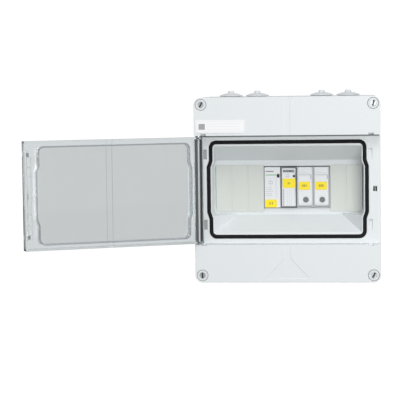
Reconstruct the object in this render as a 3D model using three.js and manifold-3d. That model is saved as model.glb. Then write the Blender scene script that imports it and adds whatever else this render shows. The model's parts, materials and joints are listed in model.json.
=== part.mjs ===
// Wall-mounted DC combiner box for nine 18 mm modules: base, lift-off cover, clear window door,
// DIN rail with relay, surge arrester and two fuse holders, and the wiring between them.
// Millimetres, +Z up. The back of the box lies in the plane Y = 0 and the front looks along -Y.
// The origin is the centre of the back face.

import * as THREE from 'three';
import { mergeVertices } from 'three/addons/utils/BufferGeometryUtils.js';
import Module from 'manifold-3d';

const wasm = await Module();
wasm.setup();

// ---------------------------------------------------------------- driving dimensions

const GAP = 0.3; // play between pieces that touch
const HAIRLINE = 0.05; // between nodes of one moulding
const OVER = 1; // how far a cutting tool runs past the face that it cuts
const GRID = 1 / 1024; // corners are rounded to this

// enclosure
const HALF = 100; // half of the square front
const CORNER = 8; // radius of the four long edges
const DEPTH = 114; // back face to front face
const BASE_DEPTH = 55; // back face to the parting line
const WALL = 3.5; // side walls
const BACK_WALL = 3;
const FRONT_WALL = 2.8;
const COLUMN_CUT = 20; // corner that the inner outline gives to each screw column
const SCREW_PLACE = 92.3; // cover screws, from the centre both ways
const FIXING_PLACE = 78; // wall fixing holes, from the centre both ways
const FIXING_BORE = 5.5;

// cable entries
const ENTRY_PLACES = [-65.5, -36, 36, 65.5];
const ENTRY_BORE = 20.4;
const ENTRY_Y = -28;
const KNOCKOUT_DEPTH = 0.8;

// door channel and window
const FLOOR = -102; // the channel's floor, on which the door shuts
const FLOOR_THICK = 3.2;
const CHANNEL_HALF = 58.8;
const STEP_WALL = 3;
const FRAME_FACE = -65.5; // the frame round the modules
const FRAME_THICK = 2.4;
const MOUTH = { x: 80, z: 47 }; // window recess at the channel floor
const THROAT = { x: 58, z: 30 }; // the same funnel at the frame
const EAR = { x: 82.4, z: 24.5, shoulderX: 80.6, shoulderZ: 29 }; // straight-sided slot through it
const WINDOW = { x: 81, z: 23.1 };
const BAND_HALF = 3.6; // shallow band down the middle of the front
const BAND_SINK = 0.5;

// window seal
const SEAL = { x: 83, earX: 85.4, z: 51.3, earZ: 24.4, shoulderZ: 31.5, radius: 6 };
const SEAL_HALF_WIDTH = 1.9;
const SEAL_GROOVE = 2;
const SEAL_PROUD = 1.2;

// door
const DOOR_AXIS = { x: -95.2, y: -109.2 };
const DOOR_OPEN_DEG = 155.5;
const DOOR_BARREL = 4.8;
const DOOR_END = 98.5; // free edge, when shut
const DOOR_HALF = 57.5;
const DOOR_PLATE = 2.4;
const DOOR_BAND = { x: 4.4, half: 3.2 };
const DOOR_RIM = 2;
const DOOR_RIM_END = -102.8;
const DOOR_RIB_HALF = 0.8;
const DOOR_RIB_END = -103.6;
const PIN_RADIUS = 1.6;
const PIN_SPAN = [50.6, 61.4];

// door latch
const LATCH_AXIS = { x: 93.6, y: -109 };
const LATCH_BAR = { x: [90.6, 95.4], y: [-111.1, -105.5], half: 41 };
const LATCH_NOSE = { x: [93.9, 95.7], tip: -99.3, half: 2.2 };
const LATCH_LUG = { from: 41.4, to: 46.5 };
const KEEPER = { x: [92.2, 96.1], half: 2.7 };

// rail and modules
const MODULE = 18;
const DEVICE_WIDTH = 17.5;
const DEVICE_BACK = -12.6;
const SHOULDER = -55;
const DEVICE_FACE = -69;
const NOSE_HALF = 22.4;
const BODY_HALF = 45;
const FIRST_MODULE = -81; // left edge of the window's first module
const RAIL = { half: 86, hat: 13.5, flange: 17.5, back: -4.8, front: -12.3, sheet: 1 };
const RAIL_SCREW_X = 72;
const TERMINAL_Y = -34; // wire entries in the devices' top and bottom
const WIRE_RADIUS = 1.9;
const ENTRY_RADIUS = 2.6;
const POCKET_HALF = 7.9; // half width of the pockets for cartridge and drawers
const INSERT_HALF = 7.6; // half width of what sits in them
const FUSE_AXIS = { y: -65.3, z: -17.5 };
const FUSE_BARREL = 3.9;
const LINK = { radius: 5.1, half: 19, y: -55.7 };

const moduleCentre = (index) => FIRST_MODULE + MODULE * (index + 0.5);
const RELAY_X = moduleCentre(3);
const SURGE_X = moduleCentre(4);
const FUSE_X = [moduleCentre(5), moduleCentre(6)];

// ---------------------------------------------------------------- materials

const finish = (color, roughness, metalness = 0) => ({ color, roughness, metalness });
const HOUSING = finish(0xd9dcdc, 0.55);
const DEVICE_WHITE = finish(0xe6e8e8, 0.5);
const STRIP_GREY = finish(0xd3d5cc, 0.5);
const DARK_PLASTIC = finish(0x4a4d50, 0.5);
const BLACK_RUBBER = finish(0x141517, 0.8);
const SMOKE_CLEAR = finish(0xc3c8ca, 0.1);
const GREY_LENS = finish(0x8b8e91, 0.3);
const YELLOW_TAG = finish(0xffe000, 0.5);
const WHITE_TAG = finish(0xf6f6f4, 0.45);
const SOFT_GREY = finish(0xdadddd, 0.7);
const ZINC = finish(0xb4b7ba, 0.35, 1);
const BRASS = finish(0xb59a52, 0.35, 1);
const COPPER = finish(0xb8734a, 0.35, 1);
const wireFinish = (color) => finish(color, 0.5);

// ---------------------------------------------------------------- solids

// A closed geometry as a solid. Corners are rounded to a fine grid, so that faces that are meant
// to lie in one plane do.
function solidOf(geometry) {
  const bare = geometry.clone();
  for (const name of ['normal', 'uv']) bare.deleteAttribute(name);
  const merged = mergeVertices(bare, 1e-4);
  const vertProperties = merged.attributes.position.array.map((value) => Math.round(value / GRID) * GRID);
  const triVerts = new Uint32Array(merged.index.array);
  return new wasm.Manifold(new wasm.Mesh({ numProp: 3, vertProperties, triVerts }));
}

function geometryOf(solid) {
  const { vertProperties, triVerts } = solid.getMesh();
  const geometry = new THREE.BufferGeometry();
  geometry.setAttribute('position', new THREE.BufferAttribute(vertProperties, 3));
  geometry.setIndex(new THREE.BufferAttribute(triVerts, 1));
  geometry.computeVertexNormals();
  return geometry;
}

const join = (first, ...others) => others.reduce((sum, next) => sum.add(next), first);
const cut = (body, ...tools) => tools.reduce((rest, tool) => rest.subtract(tool), body);

function block([x0, x1], [y0, y1], [z0, z1]) {
  const geometry = new THREE.BoxGeometry(Math.abs(x1 - x0), Math.abs(y1 - y0), Math.abs(z1 - z0));
  return solidOf(geometry.translate((x0 + x1) / 2, (y0 + y1) / 2, (z0 + z1) / 2));
}

const both = (half) => [-half, half];
const around = (centre, half) => [centre - half, centre + half];

// A flat outline in X and Z, run from one depth to another.
function plate(shape, yBack, yFront, curveSegments = 6) {
  const options = { depth: yBack - yFront, bevelEnabled: false, curveSegments };
  const geometry = new THREE.ExtrudeGeometry(shape, options);
  return solidOf(geometry.rotateX(Math.PI / 2).translate(0, yBack, 0));
}

// A side outline in Y and Z, run along X.
function sideProfile(points, [x0, x1]) {
  const shape = new THREE.Shape(points.map(([y, z]) => new THREE.Vector2(y, z)));
  const geometry = new THREE.ExtrudeGeometry(shape, { depth: x1 - x0, bevelEnabled: false });
  const basis = new THREE.Matrix4().makeBasis(
    new THREE.Vector3(0, 1, 0),
    new THREE.Vector3(0, 0, 1),
    new THREE.Vector3(1, 0, 0),
  );
  return solidOf(geometry.applyMatrix4(basis).translate(x0, 0, 0));
}

function rodAlongX(radius, [x0, x1], y, z, sides = 16) {
  const geometry = new THREE.CylinderGeometry(radius, radius, x1 - x0, sides);
  return solidOf(geometry.rotateZ(Math.PI / 2).translate((x0 + x1) / 2, y, z));
}

function rodAlongY(radius, x, [y0, y1], z, sides = 16) {
  const geometry = new THREE.CylinderGeometry(radius, radius, Math.abs(y1 - y0), sides);
  return solidOf(geometry.translate(x, (y0 + y1) / 2, z));
}

function rodAlongZ(radius, x, y, [z0, z1], sides = 16) {
  const geometry = new THREE.CylinderGeometry(radius, radius, z1 - z0, sides);
  return solidOf(geometry.rotateX(Math.PI / 2).translate(x, y, (z0 + z1) / 2));
}

// A box whose far end and near end have different half sizes.
function taperedBox(deep, yDeep, front, yFront) {
  const geometry = new THREE.BoxGeometry(2, 2, 2);
  const position = geometry.attributes.position;
  for (let i = 0; i < position.count; i += 1) {
    const end = position.getY(i) < 0 ? front : deep;
    const y = position.getY(i) < 0 ? yFront : yDeep;
    position.setXYZ(i, position.getX(i) * end.x, y, position.getZ(i) * end.z);
  }
  return solidOf(geometry);
}

function roundedSquare(half, radius) {
  const shape = new THREE.Shape();
  const inner = half - radius;
  shape.absarc(inner, inner, radius, 0, Math.PI / 2);
  shape.absarc(-inner, inner, radius, Math.PI / 2, Math.PI);
  shape.absarc(-inner, -inner, radius, Math.PI, Math.PI * 1.5);
  shape.absarc(inner, -inner, radius, Math.PI * 1.5, Math.PI * 2);
  return shape;
}

// The inner outline of base and cover: a square whose corners are cut for the screw columns,
// grown evenly by an offset.
function innerOutline(grow = 0) {
  const half = HALF - WALL + grow;
  const corner = COLUMN_CUT + (2 - Math.SQRT2) * grow;
  const low = half - corner;
  const points = [
    [half, -low], [half, low], [low, half], [-low, half],
    [-half, low], [-half, -low], [-low, -half], [low, -half],
  ];
  return new THREE.Shape(points.map(([x, z]) => new THREE.Vector2(x, z)));
}

// The window seal's outline: a rounded rectangle with a wider stretch in the middle of its height.
function sealOutline(grow) {
  const shape = new THREE.Shape();
  const slant = Math.tan(Math.atan2(SEAL.earX - SEAL.x, SEAL.shoulderZ - SEAL.earZ) / 2) * grow;
  const x = SEAL.x + grow;
  const earX = SEAL.earX + grow;
  const z = SEAL.z + grow;
  const earZ = SEAL.earZ + slant;
  const shoulderZ = SEAL.shoulderZ + slant;
  const radius = SEAL.radius + grow;
  shape.moveTo(earX, -earZ);
  shape.lineTo(earX, earZ);
  shape.lineTo(x, shoulderZ);
  shape.absarc(x - radius, z - radius, radius, 0, Math.PI / 2);
  shape.absarc(radius - x, z - radius, radius, Math.PI / 2, Math.PI);
  shape.lineTo(-x, shoulderZ);
  shape.lineTo(-earX, earZ);
  shape.lineTo(-earX, -earZ);
  shape.lineTo(-x, -shoulderZ);
  shape.absarc(radius - x, radius - z, radius, Math.PI, Math.PI * 1.5);
  shape.absarc(x - radius, radius - z, radius, Math.PI * 1.5, Math.PI * 2);
  shape.lineTo(x, -shoulderZ);
  return shape;
}

function ring(outer, inner, yBack, yFront) {
  return cut(plate(outer, yBack, yFront), plate(inner, yBack + OVER, yFront - OVER));
}

const sealRing = (halfWidth, yBack, yFront) =>
  ring(sealOutline(halfWidth), sealOutline(-halfWidth), yBack, yFront);

// ---------------------------------------------------------------- enclosure

const CORNERS = [[-1, 1, 'top_left'], [1, 1, 'top_right'], [-1, -1, 'bottom_left'], [1, -1, 'bottom_right']];
const COVER_BACK = -BASE_DEPTH - GAP;
const BASE_SEAL = { inner: 0.8, outer: 2.4, groove: 1.6, play: 0.2 };
const BOSS = { radius: 5, height: 1.5, bore: 2 };

// The base moulding is kept as its back plate and its walls, with a hairline between the two.
function baseBack() {
  const back = plate(roundedSquare(HALF, CORNER), 0, -BACK_WALL);
  const bosses = [-1, 1].map((side) => rodAlongY(
    BOSS.radius, side * RAIL_SCREW_X, [-BACK_WALL + OVER, -BACK_WALL - BOSS.height], 0,
  ));
  const bossBores = [-1, 1].map((side) => rodAlongY(
    BOSS.bore, side * RAIL_SCREW_X, [-OVER, -BACK_WALL - BOSS.height - OVER], 0, 12,
  ));
  const fixingBores = CORNERS.map(([sx, sz]) => rodAlongY(
    FIXING_BORE / 2, sx * FIXING_PLACE, [OVER, -BACK_WALL - OVER], sz * FIXING_PLACE, 12,
  ));
  return cut(join(back, ...bosses), ...bossBores, ...fixingBores);
}

function baseWalls() {
  const walls = cut(
    plate(roundedSquare(HALF, CORNER), -BACK_WALL - HAIRLINE, -BASE_DEPTH),
    plate(innerOutline(), -BACK_WALL + OVER, -BASE_DEPTH - OVER),
  );
  const screwBores = CORNERS.map(([sx, sz]) => rodAlongY(
    2.3, sx * SCREW_PLACE, [-25, -BASE_DEPTH - OVER], sz * SCREW_PLACE, 12,
  ));
  const entries = ENTRY_PLACES.map((x) => rodAlongZ(
    ENTRY_BORE / 2, x, ENTRY_Y, [HALF - WALL - OVER, HALF + OVER], 24,
  ));
  const knockouts = ENTRY_PLACES.map((x) => rodAlongZ(
    ENTRY_BORE / 2, x, ENTRY_Y, [-HALF - OVER, -HALF + KNOCKOUT_DEPTH], 24,
  ));
  const groove = ring(
    innerOutline(BASE_SEAL.outer + BASE_SEAL.play),
    innerOutline(BASE_SEAL.inner - BASE_SEAL.play),
    -BASE_DEPTH + BASE_SEAL.groove,
    -BASE_DEPTH - OVER,
  );
  return cut(walls, ...screwBores, ...entries, ...knockouts, groove);
}

function coverSeal() {
  return ring(
    innerOutline(BASE_SEAL.outer),
    innerOutline(BASE_SEAL.inner),
    -BASE_DEPTH + BASE_SEAL.groove - GAP,
    -BASE_DEPTH,
  );
}

// The recess that leads from the channel floor to the module frame: a funnel whose lower corners
// lean in, with a straight-sided slot through it for the full width of the modules.
function windowFunnel(grow, yDeep, yFront) {
  const openness = (y) => (FRAME_FACE - y) / (FRAME_FACE - FLOOR);
  const halfSizes = (y) => ({
    x: THREE.MathUtils.lerp(THROAT.x, MOUTH.x, openness(y)) + grow,
    z: THREE.MathUtils.lerp(THROAT.z, MOUTH.z, openness(y)) + grow,
  });
  const funnel = taperedBox(halfSizes(yDeep), yDeep, halfSizes(yFront), yFront);
  const wide = { x: MOUTH.x + grow };
  const upright = taperedBox({ ...halfSizes(yDeep), ...wide }, yDeep, { ...halfSizes(yFront), ...wide }, yFront);
  const upper = upright.intersect(block(both(HALF), [yDeep, yFront], [-grow / 2, HALF]));
  const { x, z, shoulderX, shoulderZ } = EAR;
  const half = [[x + grow, z], [shoulderX + grow, shoulderZ + grow]];
  const right = [...half.map(([px, pz]) => [px, -pz]).reverse(), ...half];
  const left = right.map(([px, pz]) => [-px, -pz]);
  const outline = [...right, ...left].map(([px, pz]) => new THREE.Vector2(px, pz));
  return join(funnel, upper, plate(new THREE.Shape(outline), yDeep, yFront));
}

function coverPocket(side) {
  const depths = [FLOOR + FLOOR_THICK + OVER, -DEPTH + FRONT_WALL];
  const heights = [side * (CHANNEL_HALF + STEP_WALL), side * HALF];
  return plate(innerOutline(), depths[0], depths[1]).intersect(block(both(HALF), depths, heights));
}

function bandCuts() {
  const face = -DEPTH + BAND_SINK;
  const top = block(both(BAND_HALF), [face, -DEPTH - OVER], [CHANNEL_HALF - OVER, HALF + OVER]);
  const fork = { top: -CHANNEL_HALF + OVER, knee: -74, foot: -96, half: 24 };
  const outline = [
    [BAND_HALF, fork.top], [-BAND_HALF, fork.top], [-BAND_HALF, fork.knee],
    [-fork.half, fork.foot], [fork.half, fork.foot], [BAND_HALF, fork.knee],
  ].map(([x, z]) => new THREE.Vector2(x, z));
  return [top, plate(new THREE.Shape(outline), face, -DEPTH - OVER)];
}

const SCREW_HEAD = { radius: 5.8, well: 6.15, seat: -108 };
const HINGE_NOTCH = { x: [87.2, 92.8], rise: 1.6, y: [-105, -DEPTH - OVER] };
const FLOOR_POCKET = { x: [87.6, 91.2], z: [33, 43.5], deep: 2.2 };
const PIN_BORE = PIN_RADIUS + GAP;

function hingeCuts() {
  const cuts = [];
  for (const side of [-1, 1]) {
    const x = [side * HINGE_NOTCH.x[0], side * HINGE_NOTCH.x[1]];
    const pocketX = [side * FLOOR_POCKET.x[0], side * FLOOR_POCKET.x[1]];
    for (const up of [-1, 1]) {
      const reach = [up * (CHANNEL_HALF - OVER), up * (CHANNEL_HALF + HINGE_NOTCH.rise)];
      const pocketZ = FLOOR_POCKET.z.map((z) => z * up);
      cuts.push(block(x, HINGE_NOTCH.y, reach));
      cuts.push(block(pocketX, [FLOOR - OVER, FLOOR + FLOOR_POCKET.deep], pocketZ));
    }
    const span = both(PIN_SPAN[1] + GAP);
    cuts.push(rodAlongZ(PIN_BORE, side * DOOR_AXIS.x, DOOR_AXIS.y, span, 12));
  }
  return cuts;
}

function coverMoulding() {
  const cavityFront = FLOOR + FLOOR_THICK;
  const shell = cut(
    plate(roundedSquare(HALF, CORNER), COVER_BACK, -DEPTH),
    plate(innerOutline(), COVER_BACK + OVER, cavityFront),
    coverPocket(1),
    coverPocket(-1),
    block(both(HALF + OVER), [FLOOR, -DEPTH - OVER], both(CHANNEL_HALF)),
  );
  const wells = CORNERS.flatMap(([sx, sz]) => [
    rodAlongY(SCREW_HEAD.well, sx * SCREW_PLACE, [SCREW_HEAD.seat, -DEPTH - OVER], sz * SCREW_PLACE, 24),
    rodAlongY(2.4, sx * SCREW_PLACE, [COVER_BACK + OVER, SCREW_HEAD.seat - OVER], sz * SCREW_PLACE, 12),
  ]);
  return cut(
    shell,
    windowFunnel(0, FRAME_FACE, FLOOR - OVER),
    sealRing(SEAL_HALF_WIDTH + 0.2, FLOOR + SEAL_GROOVE, FLOOR - OVER),
    block(KEEPER.x, [cavityFront + OVER, FLOOR - OVER], both(KEEPER.half)),
    ...hingeCuts(),
    ...wells,
    ...bandCuts(),
  );
}

// The cover moulding is kept as its skirt, the channel floor and the two raised ends, with a
// hairline between them: at the floor's depth, and in the corners where the ends rise.
function coverPieces() {
  const whole = coverMoulding();
  const seam = FLOOR + FLOOR_THICK;
  const wide = both(HALF + OVER);
  const skirt = whole.intersect(block(wide, [COVER_BACK + OVER, seam + HAIRLINE], wide));
  const ahead = [seam, -DEPTH - OVER];
  const floor = whole.intersect(block(wide, ahead, both(CHANNEL_HALF - HAIRLINE)));
  const [top, bottom] = [1, -1].map((side) => whole.intersect(
    block(wide, ahead, [side * CHANNEL_HALF, side * (HALF + OVER)]),
  ));
  return { skirt, floor, top, bottom };
}

// The funnel and the frame round the modules, welded behind the channel floor.
function windowFrame() {
  const front = FLOOR + FLOOR_THICK + HAIRLINE;
  return cut(
    windowFunnel(FRAME_THICK, FRAME_FACE + FRAME_THICK, front),
    windowFunnel(0, FRAME_FACE, FLOOR - OVER),
    block(both(WINDOW.x), [FRAME_FACE + FRAME_THICK + OVER, FRAME_FACE - OVER], both(WINDOW.z)),
  );
}

const doorGasket = () =>
  sealRing(SEAL_HALF_WIDTH, FLOOR + SEAL_GROOVE - GAP, FLOOR - SEAL_PROUD);

// Quarter-turn screw: a ring, a sunk inner disc with its slot, and the shank.
function coverScrew(sx, sz, slotDeg) {
  const x = sx * SCREW_PLACE;
  const z = sz * SCREW_PLACE;
  const top = -DEPTH - 0.2;
  const head = rodAlongY(SCREW_HEAD.radius, x, [SCREW_HEAD.seat - GAP, top], z, 24);
  const shank = rodAlongY(1.9, x, [-30, SCREW_HEAD.seat - OVER], z, 12);
  const sink = rodAlongY(3.3, x, [top + 0.7, top - OVER], z, 20);
  const slot = new THREE.BoxGeometry(1.5, 4, 6.2).rotateY(THREE.MathUtils.degToRad(slotDeg));
  return cut(join(head, shank), sink, solidOf(slot.translate(x, top + 0.3, z)));
}

function namePlate() {
  return block([-98, -45], [-DEPTH - 0.15, -DEPTH - 0.45], [61.8, 75.6]);
}

// A cable entry membrane turned round the entry's axis: inner flange, neck, flange, dome, nipple.
function grommet() {
  const inside = HALF - WALL;
  const profile = [
    [0, HALF + 2.4], [8.4, HALF + 0.6], [8.4, inside - 1.7], [11.4, inside - 1.7],
    [11.4, inside - GAP], [9.9, inside - GAP], [9.9, HALF + GAP], [13, HALF + GAP],
    [13, HALF + 1.4], [11.2, HALF + 2.3], [5, HALF + 3.6], [3.9, HALF + 5.9],
    [3.1, HALF + 6.4], [0, HALF + 6.4],
  ].map(([r, z]) => new THREE.Vector2(r, z));
  return new THREE.LatheGeometry(profile, 28).rotateX(Math.PI / 2);
}

// ---------------------------------------------------------------- door, drawn shut

function door() {
  const { x, y } = DOOR_AXIS;
  const panel = block([x, DOOR_END], [-DEPTH, -DEPTH + DOOR_PLATE], both(DOOR_HALF));
  const barrel = rodAlongZ(DOOR_BARREL, x, y, both(DOOR_HALF), 24);
  const rimDepth = [-DEPTH, DOOR_RIM_END];
  const rims = [-1, 1].map((side) => block(
    [x, DOOR_END], rimDepth, [side * (DOOR_HALF - DOOR_RIM), side * DOOR_HALF],
  ));
  const freeRim = block([DOOR_END - DOOR_RIM, DOOR_END], rimDepth, both(DOOR_HALF));
  const lugs = [-1, 1].map((side) => block(
    [LATCH_BAR.x[0], LATCH_BAR.x[1]],
    [-DEPTH + DOOR_PLATE - OVER, LATCH_AXIS.y + 3],
    [side * LATCH_LUG.from, side * LATCH_LUG.to],
  ));
  const body = join(panel, barrel, ...rims, freeRim, ...lugs);
  const pinBores = [-1, 1].map((side) => rodAlongZ(
    PIN_BORE, x, y, side > 0 ? [PIN_SPAN[0] - GAP, 60] : [-60, -PIN_SPAN[0] + GAP], 12,
  ));
  const latchBore = rodAlongZ(1.3, LATCH_AXIS.x, LATCH_AXIS.y, both(LATCH_LUG.to - 1), 10);
  const band = block(around(DOOR_BAND.x, DOOR_BAND.half), [-DEPTH + BAND_SINK, -DEPTH - OVER], both(DOOR_HALF + OVER));
  return cut(body, ...pinBores, latchBore, band);
}

// The rib that shuts on the window seal, welded to the inside of the door.
const doorRib = () => sealRing(DOOR_RIB_HALF, DOOR_RIB_END, -DEPTH + DOOR_PLATE + HAIRLINE);

function doorLatch() {
  const bar = block(LATCH_BAR.x, LATCH_BAR.y, both(LATCH_BAR.half));
  const nose = block(LATCH_NOSE.x, [LATCH_BAR.y[1] - OVER, LATCH_NOSE.tip], both(LATCH_NOSE.half));
  const stubs = rodAlongZ(1, LATCH_AXIS.x, LATCH_AXIS.y, both(LATCH_LUG.to - 1.5), 10);
  const grooves = [-30, -20, 20, 30].map((z) => block(
    [LATCH_BAR.x[0] - OVER, LATCH_BAR.x[1] + OVER], [LATCH_BAR.y[1] - 0.8, LATCH_BAR.y[1] + OVER], around(z, 1),
  ));
  return cut(join(bar, nose, stubs), ...grooves);
}

const hingePin = (side) => rodAlongZ(
  PIN_RADIUS, DOOR_AXIS.x, DOOR_AXIS.y, side > 0 ? PIN_SPAN : [-PIN_SPAN[1], -PIN_SPAN[0]], 12,
);

// ---------------------------------------------------------------- window trim

const STRIP = { top: 24.6, bottom: -26.8, back: FRAME_FACE - GAP, front: FRAME_FACE - 1.1 };

function blankingStrip(firstModule, count) {
  const x0 = FIRST_MODULE + MODULE * firstModule + 0.4;
  const x1 = FIRST_MODULE + MODULE * (firstModule + count) - 0.4;
  const face = block([x0, x1], [STRIP.back, STRIP.front], [STRIP.bottom, STRIP.top]);
  const plug = block([x0 + 0.3, x1 - 0.3], [FRAME_FACE + 1.6, STRIP.back - 0.2], both(WINDOW.z - 0.4));
  const lines = Array.from({ length: count - 1 }, (_, i) => {
    const x = FIRST_MODULE + MODULE * (firstModule + i + 1);
    return block(around(x, 0.35), [STRIP.front + 0.35, STRIP.front - OVER], both(HALF));
  });
  return cut(join(face, plug), ...lines);
}

// ---------------------------------------------------------------- rail and its pieces

function dinRail() {
  const { hat, flange, back, front, sheet } = RAIL;
  const half = [
    [front, flange], [front, hat - sheet], [back - sheet, hat - sheet],
  ];
  const inner = [...half, ...half.map(([y, z]) => [y, -z]).reverse()];
  const outer = [[front + sheet, -flange], [front + sheet, -hat], [back, -hat]];
  const upper = outer.map(([y, z]) => [y, -z]).reverse();
  const rail = sideProfile([...inner, ...outer, ...upper], both(RAIL.half));
  const slots = [-1, 1].map((side) => block(
    around(side * RAIL_SCREW_X, 6), [back + OVER, back - sheet - OVER], both(2.6),
  ));
  return cut(rail, ...slots);
}

function railScrew(side) {
  const x = side * RAIL_SCREW_X;
  const seat = RAIL.back - RAIL.sheet - GAP;
  const head = rodAlongY(3.8, x, [seat, seat - 2.4], 0);
  const shank = rodAlongY(1.6, x, [-1.4, seat - OVER], 0, 12);
  const slot = block(around(x, 0.5), [seat - 1.4, seat - 3], both(5));
  return cut(join(head, shank), slot);
}

const HOOK = { root: 20.6, lip: 15.2, behind: RAIL.front + RAIL.sheet + GAP, back: -9.4 };

// One module's housing: shoulders for the terminals, a nose that fills the window, and the fixed
// hook over the rail's upper flange. Terminal screws and wire entries are bored at both ends.
function moduleBody(x, noseHalf = NOSE_HALF) {
  const width = around(x, DEVICE_WIDTH / 2);
  const outline = [
    [DEVICE_FACE, -noseHalf], [DEVICE_FACE, noseHalf], [SHOULDER, noseHalf], [SHOULDER, BODY_HALF],
    [DEVICE_BACK, BODY_HALF], [DEVICE_BACK, HOOK.root], [HOOK.back, HOOK.root], [HOOK.back, HOOK.lip],
    [HOOK.behind, HOOK.lip], [HOOK.behind, RAIL.flange + GAP], [DEVICE_BACK, RAIL.flange + GAP],
    [DEVICE_BACK, -BODY_HALF], [SHOULDER, -BODY_HALF], [SHOULDER, -noseHalf],
  ];
  const bores = [-1, 1].flatMap((side) => [
    rodAlongY(2.8, x, [SHOULDER + 6, SHOULDER - OVER], side * 34, 12),
    rodAlongZ(ENTRY_RADIUS, x, TERMINAL_Y, side > 0 ? [BODY_HALF - 8, BODY_HALF + OVER]
      : [-BODY_HALF - OVER, -BODY_HALF + 8], 12),
  ]);
  return cut(sideProfile(outline, width), ...bores);
}

function railClip(x) {
  const tab = -BODY_HALF - 3.2;
  const back = HOOK.back;
  const front = DEVICE_BACK + GAP;
  const outline = [
    [HOOK.behind, -HOOK.lip], [back, -HOOK.lip], [back, tab], [front, tab],
    [front, -RAIL.flange - GAP], [HOOK.behind, -RAIL.flange - GAP],
  ];
  const clip = sideProfile(outline, around(x, 4));
  return cut(clip, block(around(x, 1.6), [back + OVER, front - OVER], [tab + 1, tab + 2.6]));
}

// ---------------------------------------------------------------- devices

const BUTTON = { x: RELAY_X + 6.5, z: 12.8, half: 1.1, halfTall: 1.6 };

function relayBody() {
  const well = block(
    around(BUTTON.x, BUTTON.half + GAP), [DEVICE_FACE + 3, DEVICE_FACE - OVER], around(BUTTON.z, BUTTON.halfTall + GAP),
  );
  return cut(moduleBody(RELAY_X), well);
}

const relayButton = () => block(
  around(BUTTON.x, BUTTON.half), [DEVICE_FACE + 1.5, DEVICE_FACE - 0.5], around(BUTTON.z, BUTTON.halfTall),
);

const CARTRIDGE = { half: 21, back: -32.4, front: DEVICE_FACE - 0.3, bladeZ: 12, bladeTip: -26 };

function surgeBase() {
  const pocket = block(
    around(SURGE_X, POCKET_HALF), [CARTRIDGE.back + GAP, DEVICE_FACE - OVER], both(CARTRIDGE.half + GAP),
  );
  const bladeSlots = [-1, 1].map((side) => block(
    around(SURGE_X, 1), [CARTRIDGE.bladeTip + 1, CARTRIDGE.back - OVER], around(side * CARTRIDGE.bladeZ, 3.6),
  ));
  return cut(moduleBody(SURGE_X), pocket, ...bladeSlots);
}

const STATUS = { x: SURGE_X + 5.8, z: 12.4, radius: 1.2 };

function surgeCartridge() {
  const { half, back, front, bladeZ, bladeTip } = CARTRIDGE;
  const body = block(around(SURGE_X, INSERT_HALF), [back, front], both(half));
  const blades = [-1, 1].map((side) => block(
    around(SURGE_X, 0.6), [bladeTip, back - OVER], around(side * bladeZ, 3),
  ));
  const grips = [-1, 1].map((side) => block(
    around(SURGE_X, 5), [front + 5, front + 1.2], [side * (half - 0.9), side * (half + OVER)],
  ));
  const statusWell = rodAlongY(STATUS.radius + GAP, STATUS.x, [front + 1.2, front - OVER], STATUS.z, 16);
  return cut(join(body, ...blades), ...grips, statusWell);
}

const surgeStatus = () => rodAlongY(
  STATUS.radius, STATUS.x, [CARTRIDGE.front + 0.9, CARTRIDGE.front - 0.1], STATUS.z,
);

// The fuse base is open at the front and, in front of its shoulders, at the top as well, so that
// the drawer can swing out with its fuse link.
function fuseBase(x) {
  const bottom = FUSE_AXIS.z - FUSE_BARREL - GAP;
  const front = block(around(x, POCKET_HALF), [SHOULDER - GAP, DEVICE_FACE - OVER], [bottom, NOSE_HALF + OVER]);
  const deep = block(around(x, POCKET_HALF), [LINK.y + LINK.radius + 5, SHOULDER - OVER], [bottom, 21]);
  return cut(moduleBody(x), front, deep);
}

const DRAWER = { top: 22.2, front: DEVICE_FACE - 0.3, back: -66.8, cheekBack: -53, cheekTop: 19.4 };
const LENS = { z: -13.8, radius: 3, offset: 0.8 };

function fuseDrawer(x) {
  const { top, front, back, cheekBack, cheekTop } = DRAWER;
  const face = block(around(x, INSERT_HALF), [front, back], [FUSE_AXIS.z, top]);
  const barrel = rodAlongX(FUSE_BARREL, around(x, INSERT_HALF), FUSE_AXIS.y, FUSE_AXIS.z, 20);
  const cheeks = [-1, 1].map((side) => block(
    [x + side * (LINK.radius + 0.6), x + side * INSERT_HALF], [back - OVER, cheekBack], [-12.5, cheekTop],
  ));
  const bridge = block(around(x, INSERT_HALF), [back - OVER, LINK.y - LINK.radius - 0.5], around(cheekTop, 0.8));
  const grip = sideProfile(
    [[front - OVER, 15.8], [front + 0.9, 15.8], [front - 0.1, 11.2], [front - OVER, 11.2]],
    [x - INSERT_HALF + 1, x + INSERT_HALF - 2.4],
  );
  const well = rodAlongY(LENS.radius + GAP, x + LENS.offset, [front + 1.2, front - OVER], LENS.z, 20);
  return cut(join(face, barrel, ...cheeks, bridge), grip, well);
}

const fuseLens = (x) => rodAlongY(
  LENS.radius, x + LENS.offset, [DRAWER.front + 0.9, DRAWER.front - 0.1], LENS.z, 20,
);

// Cylindrical link: two end caps a little wider than the ceramic body.
function fuseLink(x) {
  const { half, radius, y } = LINK;
  const cap = half - 9.5;
  const body = radius - 0.35;
  const profile = [
    [0, -half], [radius, -half], [radius, -cap], [body, -cap],
    [body, cap], [radius, cap], [radius, half], [0, half],
  ].map(([r, z]) => new THREE.Vector2(r, z));
  return new THREE.LatheGeometry(profile, 20).rotateX(Math.PI / 2).translate(x, y, 0);
}

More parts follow.
